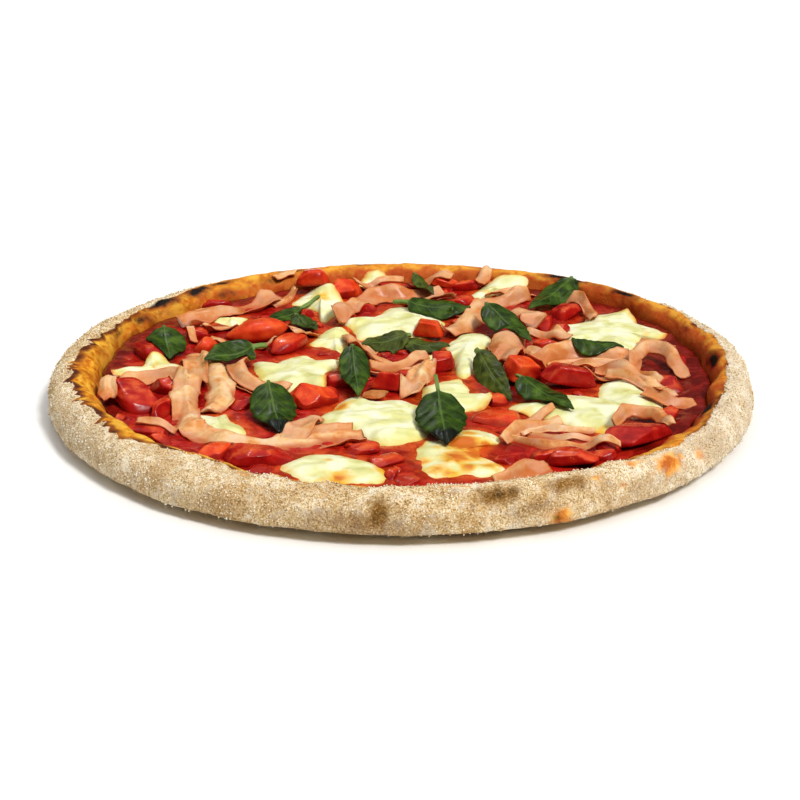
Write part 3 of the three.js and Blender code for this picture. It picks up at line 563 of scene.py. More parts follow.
class Paint:
    """A material's nodes. Sizes are in millimetres, and text stands for a value that the mesh carries."""

    def __init__(self, name):
        self.material = bpy.data.materials.new(name)
        self.material.use_nodes = True
        self.tree = self.material.node_tree
        self.place = self.node("TexCoord").outputs["Object"]

    def feed(self, socket, value):
        if isinstance(value, str):
            carried = self.node("Attribute")
            carried.attribute_name = value
            value = carried.outputs["Fac"]
        if isinstance(value, bpy.types.NodeSocket):
            self.tree.links.new(value, socket)
        else:
            socket.default_value = value

    def node(self, kind, *values, **named):
        """A node with its inputs fed in order and by name."""
        node = self.tree.nodes.new("ShaderNode" + kind)
        for socket, value in zip(node.inputs, values):
            self.feed(socket, value)
        for name, value in named.items():
            self.feed(node.inputs[name], value)
        return node

    def noise(self, size, detail=3.0, rough=0.55, distortion=0.0):
        inputs = {"Vector": self.place, "Scale": 1 / MM / size, "Detail": detail, "Roughness": rough}
        return self.node("TexNoise", **inputs, Distortion=distortion).outputs["Fac"]

    def cells(self, size):
        return self.node("TexVoronoi", Vector=self.place, Scale=1 / MM / size).outputs["Distance"]

    def math(self, way, a, b=0.0):
        node = self.node("Math", a, b)
        node.operation = way
        return node.outputs[0]

    def times(self, a, b):
        return self.math("MULTIPLY", a, b)

    def plus(self, a, b):
        return self.math("ADD", a, b)

    def frayed(self, value, grain, depth):
        """A value made uneven by a grain that varies about a half."""
        return self.plus(value, self.times(self.math("SUBTRACT", grain, 0.5), depth))

    def span(self, *values):
        """A value eased between ranges: value, low, high and, if not 0 and 1, the new low and high."""
        node = self.node("MapRange", *values)
        node.interpolation_type = "SMOOTHSTEP"
        return node.outputs[0]

    def ramp(self, value, *stops):
        node = self.node("ValToRGB", value)
        line = node.color_ramp.elements
        while len(line) < len(stops):
            line.new(0.5)
        for element, (at, colour) in zip(line, stops):
            element.position = at
            element.color = linear(colour)
        return node.outputs[0]

    def mix(self, share, a, b, way="MIX"):
        node = self.node("Mix", share)
        node.data_type = "RGBA"
        node.blend_type = way
        for socket, colour in ((node.inputs[6], a), (node.inputs[7], b)):
            self.feed(socket, colour if isinstance(colour, bpy.types.NodeSocket) else linear(colour))
        return node.outputs[2]

    def bump(self, height, depth, strength, **under):
        return self.node("Bump", Height=height, Distance=depth * MM, Strength=strength, **under).outputs[0]

    def bumps(self, fine, coarse):
        """Fine relief on top of coarse relief, each a height, a depth and a strength."""
        return self.bump(*fine, Normal=self.bump(*coarse))

    def finish(
        self, colour, roughness, normal=None, soft=0.0, soft_reach=2.0, tint=(1.0, 0.4, 0.2), shine=0.2
    ):
        inputs = {"Base Color": colour, "Roughness": roughness, "Specular IOR Level": shine}
        inputs |= {"Subsurface Weight": soft, "Subsurface Scale": soft_reach * MM, "Subsurface Radius": tint}
        inputs |= {} if normal is None else {"Normal": normal}
        for name, value in inputs.items():
            self.feed(self.tree.nodes["Principled BSDF"].inputs[name], value)
        return self.material


def crust_paint():
    p = Paint("crust_paint")
    grain, clump, crumb, broad = p.noise(0.8, 3, 0.7), p.noise(4.5, 3), p.noise(3.0, 4), p.noise(17.0, 3)
    flakes = (
        (0.34, (150, 116, 64)), (0.45, (208, 176, 124)), (0.54, (238, 214, 170)), (0.66, (255, 246, 226)),
    )
    dusty = p.mix(p.span(clump, 0.5, 0.66, 0.0, 0.6), p.ramp(grain, *flakes), (252, 243, 224))
    dusty = p.mix(p.span(clump, 0.46, 0.34, 0.0, 0.5), dusty, (190, 158, 104))
    dusty = p.mix(p.span(broad, 0.42, 0.62, 0.0, 0.6), dusty, (206, 176, 122), "MULTIPLY")
    # Painted light: the flour is whitened towards the right of the rim and a little at the front left.
    dusty = p.mix(p.times("painted_light", 0.4), dusty, (224, 216, 202))
    gold = ((0.28, (160, 78, 14)), (0.44, (208, 124, 24)), (0.58, (232, 164, 42)), (0.74, (244, 198, 84)))
    baked = p.mix(p.span(p.noise(8.0, 3), 0.46, 0.62, 0.0, 0.55), p.ramp(crumb, *gold), (170, 84, 20))
    baked = p.mix(p.span(p.noise(11.0, 3, 0.5, 0.6), 0.48, 0.62, 0.0, 0.6), baked, (248, 196, 70))
    # Painted light: the baked crust is made paler towards the right and back, lightening the shade on the
    # rim's inner slope there.
    baked = p.mix(p.times("painted_light_and_stain_reach", 0.4), baked, (226, 142, 54))
    toast = p.frayed("toast", crumb, 0.6)
    baked = p.mix(p.span(toast, 0.2, 0.75, 0.0, 0.9), baked, (140, 70, 22))
    baked = p.mix(p.span(toast, 0.6, 1.1), baked, (84, 38, 14))
    baked = p.mix(p.times("stained", 0.8), baked, (176, 44, 20))
    flour = p.span(p.frayed("flour", crumb, 0.6), 0.34, 0.6)
    colour = p.mix(flour, baked, dusty)
    smoky = p.ramp(grain, (0.3, (80, 50, 18)), (0.55, (142, 100, 46)), (0.75, (208, 170, 108)))
    base_spots = p.times("under", p.span(p.noise(26.0, 4), 0.48, 0.68, 0.0, 0.8))
    brown = p.plus(p.frayed("brown", clump, 0.7), base_spots)
    colour = p.mix(p.span(brown, 0.2, 1.0), colour, smoky)
    shiny = p.ramp(clump, (0.36, (186, 92, 24)), (0.5, (226, 140, 40)), (0.64, (242, 184, 92)))
    colour = p.mix(p.span(p.frayed("bubble", crumb, 0.8), 0.2, 0.85, 0.0, 0.95), colour, shiny)
    base_char = p.times("under", p.span(p.noise(13.0, 2), 0.6, 0.74))
    burnt = p.plus(p.frayed("char", crumb, 0.7), base_char)
    colour = p.mix(p.span(burnt, 0.28, 0.8), colour, (24, 16, 12))
    normal = p.bumps((grain, 0.6, 0.7), (crumb, 0.8, 0.4))
    return p.finish(colour, p.span(flour, 0.0, 1.0, 0.5, 0.92), normal, 0.06, shine=0.1)


def flour_paint():
    p = Paint("flour_paint")
    grains = ((0.0, (150, 116, 66)), (0.3, (210, 180, 130)), (0.6, (240, 220, 182)), (0.9, (255, 250, 238)))
    shade = p.noise(1.5, 2)
    # The grains' tone carries some painted light: grains are whiter towards the right of the rim.
    colour = p.mix(p.span(shade, 0.3, 0.7, 0.0, 0.25), p.ramp("tone", *grains), (200, 174, 130))
    return p.finish(colour, 0.85, p.bump(shade, 0.2, 0.4), 0.1, 0.8)


def sauce_paint():
    p = Paint("sauce_paint")
    pulp, broad, fine = p.noise(7.0, 3, 0.5, 0.6), p.noise(22.0, 3), p.noise(2.4, 2)
    reds = ((0.26, (112, 9, 7)), (0.44, (150, 15, 11)), (0.58, (176, 24, 15)), (0.74, (200, 46, 22)))
    colour = p.ramp(pulp, *reds)
    colour = p.mix(p.span(broad, 0.45, 0.65, 0.0, 0.45), colour, (124, 11, 9))
    warm = p.times("warm", p.span(pulp, 0.34, 0.62, 0.3, 1.0))
    colour = p.mix(p.times(warm, 0.8), colour, (210, 86, 24))
    # Darker where the sauce runs thin up the rim, and towards the right of the pizza.
    darker_rim_and_right = p.times("darker_rim_and_right", p.span(pulp, 0.3, 0.62, 1.0, 0.7))
    colour = p.mix(p.span(darker_rim_and_right, 0.0, 0.9, 0.0, 0.9), colour, (92, 15, 8))
    normal = p.bumps((fine, 0.2, 0.35), (pulp, 0.9, 0.4))
    return p.finish(colour, p.span(pulp, 0.35, 0.7, 0.16, 0.34), normal, 0.08, 1.2, (1.0, 0.25, 0.1), 0.3)


def mozzarella_paint():
    p = Paint("mozzarella_paint")
    fold, broad, fine = p.noise(10.0, 2, 0.5, 0.6), p.noise(24.0, 2), p.noise(1.8, 3)
    colour = p.ramp(fold, (0.3, (208, 206, 130)), (0.46, (226, 226, 168)), (0.62, (238, 239, 204)))
    colour = p.mix(p.span(broad, 0.48, 0.68, 0.0, 0.5), colour, (222, 220, 140))
    inside = p.frayed("inside", fold, 5.0)
    colour = p.mix(p.span(inside, 0.3, 5.5, 0.7, 0.0), colour, (222, 194, 74))
    colour = p.mix(p.span(inside, -0.6, 2.0, 0.9, 0.0), colour, (204, 104, 26))
    stain = p.frayed("stain", p.noise(7.0, 3, 0.5, 0.8), 1.1)
    colour = p.mix(p.span(stain, 0.25, 0.75, 0.0, 0.9), colour, (232, 180, 44))
    colour = p.mix(p.span(stain, 0.6, 1.05, 0.0, 0.9), colour, (200, 92, 22))
    speck = p.times(p.span(p.cells(6.0), 0.07, 0.04), p.span(p.noise(14.0, 2), 0.56, 0.6))
    colour = p.mix(p.times(speck, 0.6), colour, (92, 84, 40))
    normal = p.bumps((fine, 0.1, 0.2), (fold, 0.3, 0.12))
    return p.finish(colour, p.span(fold, 0.3, 0.7, 0.28, 0.42), normal, 0.2, 1.8, (1.0, 0.85, 0.5), 0.25)


def tomato_paint():
    p = Paint("tomato_paint")
    flesh, broad, fine = p.noise(6.0, 2, 0.5, 0.3), p.noise(12.0, 2), p.noise(1.3, 2)
    red = p.ramp(flesh, (0.3, (138, 12, 10)), (0.5, (164, 18, 15)), (0.7, (184, 32, 22)))
    orange = p.ramp(flesh, (0.3, (206, 50, 15)), (0.5, (220, 68, 24)), (0.7, (226, 92, 40)))
    # Painted light: faces that point up are made more orange than the sides, and cut flesh is made paler
    # only where it points up.
    tone = p.frayed(p.frayed("tone", broad, 1.4), "level", 0.5)
    colour = p.mix(p.span(tone, 0.05, 1.05), red, orange)
    pale = p.times(p.times("cut", "level"), p.span(flesh, 0.45, 0.7))
    colour = p.mix(p.times(pale, 0.35), colour, (220, 112, 56))
    gel = p.times("cut", p.span(broad, 0.5, 0.6))
    seeds = p.times(p.span(p.cells(2.4), 0.16, 0.08), gel)
    colour = p.mix(p.times(seeds, 0.4), colour, (234, 170, 96))
    colour = p.mix(p.times("wet", 0.7), colour, (132, 13, 10))
    rough = p.plus(p.span(fine, 0.3, 0.7, 0.14, 0.3), p.span("cut", 0.0, 1.0, 0.12, 0.0))
    normal = p.bumps((fine, 0.1, 0.3), (flesh, 0.4, 0.3))
    return p.finish(colour, rough, normal, 0.12, 1.2, (1.0, 0.3, 0.12), 0.18)


def ham_paint():
    p = Paint("ham_paint")
    blot, spot, fine = p.noise(15.0, 2, 0.5, 0.5), p.noise(2.6, 3), p.noise(1.0, 3)
    strand = p.node("CombineXYZ", p.times("streak", 0.5), p.times("along", 0.08)).outputs[0]
    fibre = p.node("TexNoise", Vector=strand, Scale=1.0, Detail=3.0, Roughness=0.6, Distortion=0.2)
    mottle = p.plus(p.plus(p.times(blot, 0.55), p.times(fibre.outputs["Fac"], 0.15)), p.times(spot, 0.3))
    pinks = ((0.4, (210, 138, 72)), (0.46, (226, 168, 106)), (0.52, (233, 186, 130)), (0.6, (238, 206, 162)))
    colour = p.ramp(mottle, *pinks)
    colour = p.mix(p.span(p.noise(8.0, 3, 0.5, 0.4), 0.5, 0.66, 0.0, 0.6), colour, (240, 200, 166))
    colour = p.mix(p.times("tone", 0.7), colour, (194, 114, 62))
    colour = p.mix(p.span(p.frayed("edge", spot, 0.5), 0.78, 1.0, 0.0, 0.65), colour, (196, 98, 40))
    # Darker orange where the strip lies in the sauce, a stain, and in the hollows between its folds, painted
    # shade.
    colour = p.mix(p.span("low", 0.1, 1.0, 0.0, 0.85), colour, (178, 74, 24))
    normal = p.bumps((fine, 0.12, 0.3), (spot, 0.3, 0.3))
    return p.finish(colour, p.span(blot, 0.3, 0.7, 0.28, 0.44), normal, 0.3, 1.8, (1.0, 0.4, 0.22), 0.24)


def basil_paint():
    p = Paint("basil_paint")
    mottle, fine = p.noise(6.0, 3), p.noise(1.2, 3)
    side = p.math("ABSOLUTE", "side")
    fresh = p.ramp(mottle, (0.3, (22, 38, 4)), (0.5, (41, 63, 10)), (0.72, (72, 98, 22)))
    olive = p.ramp(mottle, (0.3, (36, 40, 7)), (0.5, (60, 68, 17)), (0.72, (92, 101, 35)))
    colour = p.mix(p.span("tone", 0.2, 1.0), fresh, olive)
    run = p.math("FRACT", p.math("SUBTRACT", p.times("way", VEINS), p.times(side, VEIN_SLANT)))
    off = p.math("ABSOLUTE", p.math("SUBTRACT", run, 0.5))
    vein = p.times(p.span(off, 0.05, 0.015, 0.0, 0.7), p.span(side, 1.0, 0.6))
    lines = p.math("MAXIMUM", vein, p.span(side, 0.07, 0.02))
    colour = p.mix(p.times(lines, 0.4), colour, (104, 130, 60))
    colour = p.mix(p.times(p.span("way", 0.04, -0.04), 0.8), colour, (120, 146, 72))
    scorch = p.times("scorch", p.span(p.plus("way", p.times(mottle, 0.3)), 0.82, 0.9))
    colour = p.mix(p.times(scorch, 0.95), colour, (10, 13, 9))
    normal = p.bumps((fine, 0.12, 0.3), (lines, 0.3, 0.3))
    return p.finish(colour, p.span(mottle, 0.3, 0.7, 0.26, 0.4), normal, 0.06, 0.6, (0.5, 1.0, 0.3), 0.13)


paints = {
    "crust": crust_paint(),
    "flour": flour_paint(),
    "sauce": sauce_paint(),
    "mozzarella": mozzarella_paint(),
    "tomato": tomato_paint(),
    "ham": ham_paint(),
    "basil": basil_paint(),
}


# The crust


def near(angle, middle, reach):
    """1 at an angle round the pizza in degrees, fading to 0 either side of it."""
    return np.exp(-((((np.degrees(angle) - middle + 180) % 360 - 180) / reach) ** 2))


def bulge(angle):
    """How far the rim swells inwards at the front left."""
    return 7.0 * near(angle, 234, 8.5)


def inner_edge(angle):
    """The radius at which the rim meets the sauce."""
    swell = 5.0 * near(angle, 155, 18) - 5.0 * near(angle, 0, 30) - bulge(angle)
    ripple = 1.8 * lumps(angle, 7, 3, 9) + 1.1 * lumps(angle, 31, 24, 48)
    return INNER_RADIUS + 4.5 * np.cos(angle) + 3.5 * np.sin(angle) + ripple + swell


def crest_over(angle):
    """How much higher than its usual height the rim is."""
    tilt = 0.4 - 0.6 * np.sin(angle) - 1.6 * near(angle, 125, 32)
    return 1.3 * lumps(angle, 11, 4, 13) + tilt + 0.1 * bulge(angle)


def spots(listed, turn, over, sway):
    """How deep the listed spots are at angles round and over the rim, in degrees."""
    depth = np.zeros(np.broadcast(turn, over).shape)
    for at, up, wide, high, strength in listed:
        dx = np.radians((turn - at + 180) % 360 - 180) * RIM_MIDDLE / wide
        dy = np.radians(over - up) * RIM_ARC / high
        fall = (dx * dx + dy * dy) ** 1.1 * np.clip(1 + 1.2 * sway, 0.3, 3)
        depth = np.maximum(depth, strength * np.exp(-fall))
    return depth


def crust():
    """The dough with its rim; returns the rim's points, how floury each is and how much painted light
    whitens it.
    """
    sectors, arc_rows = CRUST_GRID
    angle = round_angles(sectors)
    # The profile runs out along the base, up the foot, over the rim and in along the floor
    foot = np.linspace(0, 1, 9)[:-1]
    foot_curve = [[PIZZA_RADIUS - FOOT_ROUNDING * (1 - t) ** 0.87, DOUGH_FLOOR * t**1.25] for t in foot]
    base = [[r, 0.0] for r in np.linspace(INNERMOST_RING, PIZZA_RADIUS - FOOT_ROUNDING, 12)[:-1]]
    over = np.linspace(0, math.pi, arc_rows)
    arc_radius = PIZZA_RADIUS - RIM_WIDTH * (1 - np.cos(over)) / 2
    arc = np.stack([arc_radius, DOUGH_FLOOR + RIM_RISE * np.sin(over).clip(0) ** 0.75], 1)
    floor = [[r, DOUGH_FLOOR] for r in np.linspace(INNER_RADIUS, INNERMOST_RING, 10)[1:]]
    profile = np.vstack([base, foot_curve, arc, floor])
    runs = [np.full(len(base), -90.0), -70 + 70 * foot, np.degrees(over), np.full(len(floor), 180.0)]
    up = np.concatenate(runs)[:, None]
    radius, height = profile[:, :1], profile[:, 1:]
    share = np.clip((radius - INNER_RADIUS) / RIM_WIDTH, 0, 1)
    inward = bulge(angle)
    shift = (inner_edge(angle) + inward - INNER_RADIUS) * (1 - share) - inward * ease(0.95, 0.45, share)
    radius = radius + shift * np.minimum(1, radius / INNER_RADIUS)
    swell = 1.4 * lumps(angle, 244, 2, 7) - 1.2 * near(angle, 0, 40) - near(angle, 180, 30)
    radius = radius + swell * share
    tall = np.clip(height - DOUGH_FLOOR, 0, None) / RIM_RISE
    grid = xyz(radius * np.cos(angle), radius * np.sin(angle), height + crest_over(angle) * tall)

    # Where flour, toast, char and sauce lie; the flour ends in teeth, long ones at the left
    turn = np.degrees(angle)
    line = np.interp(turn, *zip(*FLOUR_LINE))
    edge = xyz(RIM_MIDDLE * np.cos(angle), RIM_MIDDLE * np.sin(angle))
    jag = 8 * noise(edge, 7, 2, 4) + 10 * noise(edge, 30, 1, 2) + 10 * noise(edge, 15, 1, 17)
    warped = turn * 0.3 + 2.6 * noise(edge, 30, 2, 12)
    tooth = (1 - np.abs(2 * (warped % 1) - 1)) ** 1.1 * np.clip(0.5 + 1.6 * noise(edge, 11, 1, 13), 0.1, 1.2)
    left = np.exp(-(((turn - 195) / 42) ** 2))
    jag = jag - tooth * (5 + 19 * left) + 2 * left
    beyond = up - (line + jag)
    flour = ease(5, -4, beyond)
    bubble = spots(BUBBLES, turn, up, noise(grid, 4, 2, 14))
    browning = 0.45 + 0.65 * left + 0.9 * noise(grid, 9, 2, 5)
    toast = np.exp(-(((beyond - 5) / (15 + 3 * left)) ** 2)) * ease(-6, 2, beyond) * browning
    sway = noise(grid, 5, 2, 6)
    char, brown = spots(CHAR, turn, up, sway), spots(SMUDGES, turn, up, sway)
    halos = [(*place, wide * 1.7, high * 1.7, depth) for *place, wide, high, depth in CHAR]
    toast = np.maximum(toast, spots(halos, turn, up, sway))
    # Painted light, whitening the flour on top towards the right and a little at the front left
    painted_light = np.maximum(ease(0.3, 0.95, np.cos(angle)), 0.4 * near(angle, 212, 26)) * ease(-70, -20, up)
    # Towards the right and back: the paint lightens the shaded inner slope there (painted light), and the
    # sauce stain reaches further up the rim
    painted_light_and_stain_reach = ease(-0.7, 0.6, np.cos(angle - 0.6))
    stained = ease(132 - 28 * painted_light_and_stain_reach, 172 - 36 * painted_light_and_stain_reach, up + 34 * noise(grid, 10, 2, 15)) * (0.3 + 0.65 * painted_light_and_stain_reach)

    # Lumps and blisters of the dough
    weight = ease(-60, 0, up) * ease(178, 150, up)
    bump = 0.75 * noise(grid, 24, 2, 1) + 0.4 * noise(grid, 8, 2, 2) + 0.16 * noise(grid, 2.6, 2, 3)
    knobs = ease(80, 120, up) * (1.5 + 1.5 * near(angle, 140, 24)) * np.clip(noise(grid, 12, 1, 10), -0.3, 1)
    bump = bump + knobs - 0.5 * char + 0.5 * bubble
    flaked = 0.35 * ease(2, -2, beyond) * weight
    grid = grid + normals_of(grid) * ((bump * weight + flaked)[..., None])
    grid[: len(base), :, 2] = 0
    grid[..., 2] = np.maximum(grid[..., 2], 0)
    values = {"flour": flour, "toast": toast, "char": char, "brown": brown, "painted_light": painted_light, "painted_light_and_stain_reach": painted_light_and_stain_reach}
    values |= {"stained": stained, "bubble": bubble, "under": ease(-20, -75, up)}
    values = {k: with_ends(np.broadcast_to(v, grid.shape[:2])) for k, v in values.items()}
    lay("crust_dough", (*shell(grid, [[0, 0, 0]], [[0, 0, DOUGH_FLOOR]]), values), "crust", ["crust"])
    first = len(base) + len(foot_curve)
    rows = slice(first, first + arc_rows)
    bare = np.maximum(np.maximum(char, ease(0.25, 0.8, brown)), ease(0.15, 0.6, bubble))
    return grid[rows], (flour * (1 - 0.95 * bare))[rows], painted_light[rows]


def flour_grains(rim, flour, painted_light):
    """Coarse flour on the rim, one mesh of small eight-sided grains."""
    rng = np.random.default_rng(3)
    rows, sectors, _ = rim.shape
    tries = 3 * FLOUR_GRAINS
    i, j = rng.integers(0, rows - 14, tries), rng.integers(0, sectors, tries)
    keep = rng.random(tries) < flour[i, j] ** 2
    i, j = i[keep][:FLOUR_GRAINS], j[keep][:FLOUR_GRAINS]
    size = 0.22 + 0.24 * rng.random(len(i)) ** 2
    centre = rim[i, j] + rng.normal(0, 0.25, (len(i), 3)) + normals_of(rim)[i, j] * 0.08
    corner = np.array([[1, 0, 0], [-1, 0, 0], [0, 1, 0], [0, -1, 0], [0, 0, 1], [0, 0, -1]], float)
    face = np.array([[0, 2, 4], [2, 1, 4], [1, 3, 4], [3, 0, 4], [2, 0, 5], [1, 2, 5], [3, 1, 5], [0, 3, 5]])
    a, b = rng.normal(size=(2, len(i), 3))
    a /= np.linalg.norm(a, axis=1)[:, None]
    b = np.cross(a, b)
    b /= np.linalg.norm(b, axis=1)[:, None]
    axes = np.stack([a, b, np.cross(a, b)], 1) * (0.7 + 0.6 * rng.random((len(i), 3, 1)))
    points = (centre[:, None] + size[:, None, None] * (corner @ axes)).reshape(-1, 3)
    tris = (np.arange(len(i))[:, None, None] * len(corner) + face).reshape(-1, 3)
    # Part of each grain's tone is painted light, whiter towards the right of the rim.
    patch = 0.55 * noise(centre, 9, 2, 16) + 0.15 * painted_light[i, j]
    tone = np.repeat(np.clip(0.1 + 0.8 * rng.random(len(i)) + patch, 0, 1), len(corner))
    part = (points, np.zeros((0, 4), int), tris, {"tone": tone})
    make("crust_flour", part, paints["flour"])


# Sauce and toppings


def mozzarella_patch(patch):
    """A torn piece that has melted flat: round edges, soft creases and a level top."""
    rise, stain, corners = patch
    sectors, rows = CHEESE_GRID
    edge = closed_curve(corners, sectors)[::-1]
    x, y = edge[:, 0], edge[:, 1]
    twice = x * np.roll(y, -1) - np.roll(x, -1) * y
    centre = np.array([np.sum((v + np.roll(v, -1)) * twice) for v in (x, y)]) / (3 * twice.sum())
    if twice.sum() < 0:
        edge = edge[::-1]
    arm = edge - centre
    far = np.linalg.norm(arm, axis=1)
    arm = arm * (1 + 1.3 * noise(xyz(edge[:, 0], edge[:, 1]), 6, 3, 61) / far)[:, None]
    out = 1 - np.linspace(0, 1, rows + 1)[:-1, None] ** 1.5
    x, y = centre[0] + out * arm[:, 0], centre[1] + out * arm[:, 1]
    depth = (1 - out) * far
    flat = xyz(x, y)
    swell = 1 + 0.35 * noise(flat, 19, 2, 62)
    crease = 1 - np.abs(noise(flat * (1, 1.7, 1), 21, 2, 63)) * 2.6
    top = relief.ground(x, y, 2, 3) + 0.15 + 0.74 * rise * swell * (1 - np.exp(-depth / 6.2))
    top = top + (0.65 * crease + 0.06 * noise(flat, 4.5, 2, 64)) * (1 - np.exp(-depth / 5))
    lower_out = np.linspace(0.2, 0.985, 5)[:, None]
    lower_x, lower_y = centre[0] + lower_out * arm[:, 0], centre[1] + lower_out * arm[:, 1]
    lower = xyz(lower_x, lower_y, relief.ground(lower_x, lower_y, 2, 3) - 0.4)
    points, quads, tris = capped(np.concatenate([lower, xyz(x, y, top)]))
    inside = np.concatenate([(1 - lower_out) * far, depth])
    oily = np.full(len(points), 0.15 * stain)
    for stain_x, stain_y, radius, strength in STAINS:
        off = np.hypot(points[:, 0] - stain_x, points[:, 1] - stain_y) / radius
        oily = np.maximum(oily, strength * np.exp(-(off**2)))
    return points, quads, tris, {"inside": with_ends(inside), "stain": oily}


def sauce():
    """A wet layer that the toppings settle into; it climbs the rim at the right and back."""
    sectors, rows = SAUCE_GRID
    angle = round_angles(sectors)
    cos, sin = np.cos(angle), np.sin(angle)
    ring = xyz(SAUCE_CIRCLE * cos, SAUCE_CIRCLE * sin)
    climb = 0.5 + 1.2 * ease(-0.35, 0.8, np.cos(angle - 0.55)) + 1.2 * noise(ring, 20, 2, 24)
    edge = inner_edge(angle) - 0.4 + 0.32 * climb + 0.8 * noise(ring, 9, 2, 21)
    out = np.linspace(1, 0, rows + 1)[:-1, None] ** 0.8
    flat = xyz(out * edge * cos, out * edge * sin)
    level = SAUCE_TOP + SETTLE + 0.7 * noise(flat, 13, 2, 22) + 0.45 * noise(flat, 5.5, 2, 23)
    near_rim = ease(17, 0, edge * (1 - out))
    top = level + np.clip(climb, 0, None) * near_rim - 1.2 * ease(0.8, 0, edge * (1 - out))
    lower_out = np.linspace(0.2, 0.95, 4)[:, None]
    lower = xyz(lower_out * edge * cos, lower_out * edge * sin, DOUGH_FLOOR - 0.2)
    grid = np.concatenate([lower, xyz(flat[..., 0], flat[..., 1], top)])
    points, quads, tris = shell(grid, [[0, 0, DOUGH_FLOOR]], [[0, 0, SAUCE_TOP + SETTLE]])
    # Darker where the sauce runs thin up the rim, and towards the right of the pizza.
    dark = with_ends(np.concatenate([0 * lower[..., 0], near_rim]))
    return points, quads, tris, {"darker_rim_and_right": np.maximum(dark, 0.9 * ease(60, 130, points[:, 0]))}


def tomato_block(x, y, length, width, height, turn, tone, square, base, mesh_grid):
    """A tumbled piece of tomato with cut faces; one side is rounded skin."""
    seed = x * 0.37 + y

    def odd(which):
        return seeded(seed + which) - 0.5

    sectors, rings = mesh_grid
    angle = round_angles(sectors)
    up = np.linspace(0, math.pi, rings + 2)[1:-1, None]
    ball = xyz(np.sin(up) * np.cos(angle), np.sin(up) * np.sin(angle), -np.cos(up))
    block = ball * np.sum(np.abs(ball) ** square, -1, keepdims=True) ** (-1 / square)
    skin_way = 2 * math.pi * seeded(seed)
    skin = ease(0.35, 0.95, ball[..., 0] * math.cos(skin_way) + ball[..., 1] * math.sin(skin_way))
    block = block + (ball * 1.12 - block) * (0.4 * skin[..., None])
    for k in range(5 if 4 < square < 9 else 0):
        around, climb = 2 * math.pi * seeded(seed + 11.3 * k), 1.1 * seeded(seed + 5.7 * k + 40) - 0.1
        flat = math.cos(climb)
        facet = np.array([math.cos(around) * flat, math.sin(around) * flat, math.sin(climb)])
        past = np.clip(block @ facet - 0.84 - 0.25 * seeded(seed + 3.1 * k + 80), 0, None)
        block = block - past[..., None] * facet
    block[..., 0] *= 1 - (0.12 + 0.2 * seeded(seed + 1)) * block[..., 2]
    block[..., 1] *= 1 - 0.5 * odd(2) * block[..., 0]
    block[..., 0] += 0.5 * odd(3) * block[..., 1]
    block[..., 2] *= 1 + 0.35 * odd(6) * block[..., 0] + 0.35 * odd(7) * block[..., 1]
    if square < 4:
        block[..., 1:] *= (1 - 0.3 * block[..., 0] ** 2)[..., None]
    solid = block * (length * 0.47, width * 0.47, height * 0.47)
    lean, pitch = 0.5 * odd(4), 0.5 * odd(5)
    sx, sy, sz = solid[..., 0], solid[..., 1], solid[..., 2]
    sx, sz = sx * math.cos(lean) - sz * math.sin(lean), sx * math.sin(lean) + sz * math.cos(lean)
    sy, sz = sy * math.cos(pitch) - sz * math.sin(pitch), sy * math.sin(pitch) + sz * math.cos(pitch)
    grid = xyz(*placed(x, y, turn, sx, sy), sz - sz.min() + base)
    rough = 0.22 * noise(grid, 6, 2, 31) + 0.05 * noise(grid, 1.8, 1, 32)
    grid = grid + normals_of(grid) * rough[..., None]
    points, quads, tris = capped(grid)
    # How much each face points up; the paint makes such faces lighter, which is painted light.
    level = ease(0.35, 0.95, normals_of(grid)[..., 2])
    cut = (1 - skin) * (square > 3)
    wet = ease(3.2, 0.2, points[:, 2] - SAUCE_TOP - SETTLE)
    values = {
        "tone": np.full(len(points), tone),
        "cut": with_ends(cut),
        "level": with_ends(level),
        "wet": wet,
    }
    return points, quads, tris, values


def bed(x, y, length, width):
    """The height that a firm piece settles at: the middle of what lies under it."""
    dx, dy = np.meshgrid(np.linspace(-0.3, 0.3, 5), np.linspace(-0.3, 0.3, 5))
    size = min(length, width)
    return float(np.median(Relief.at(relief.top, x + dx * size, y + dy * size)))


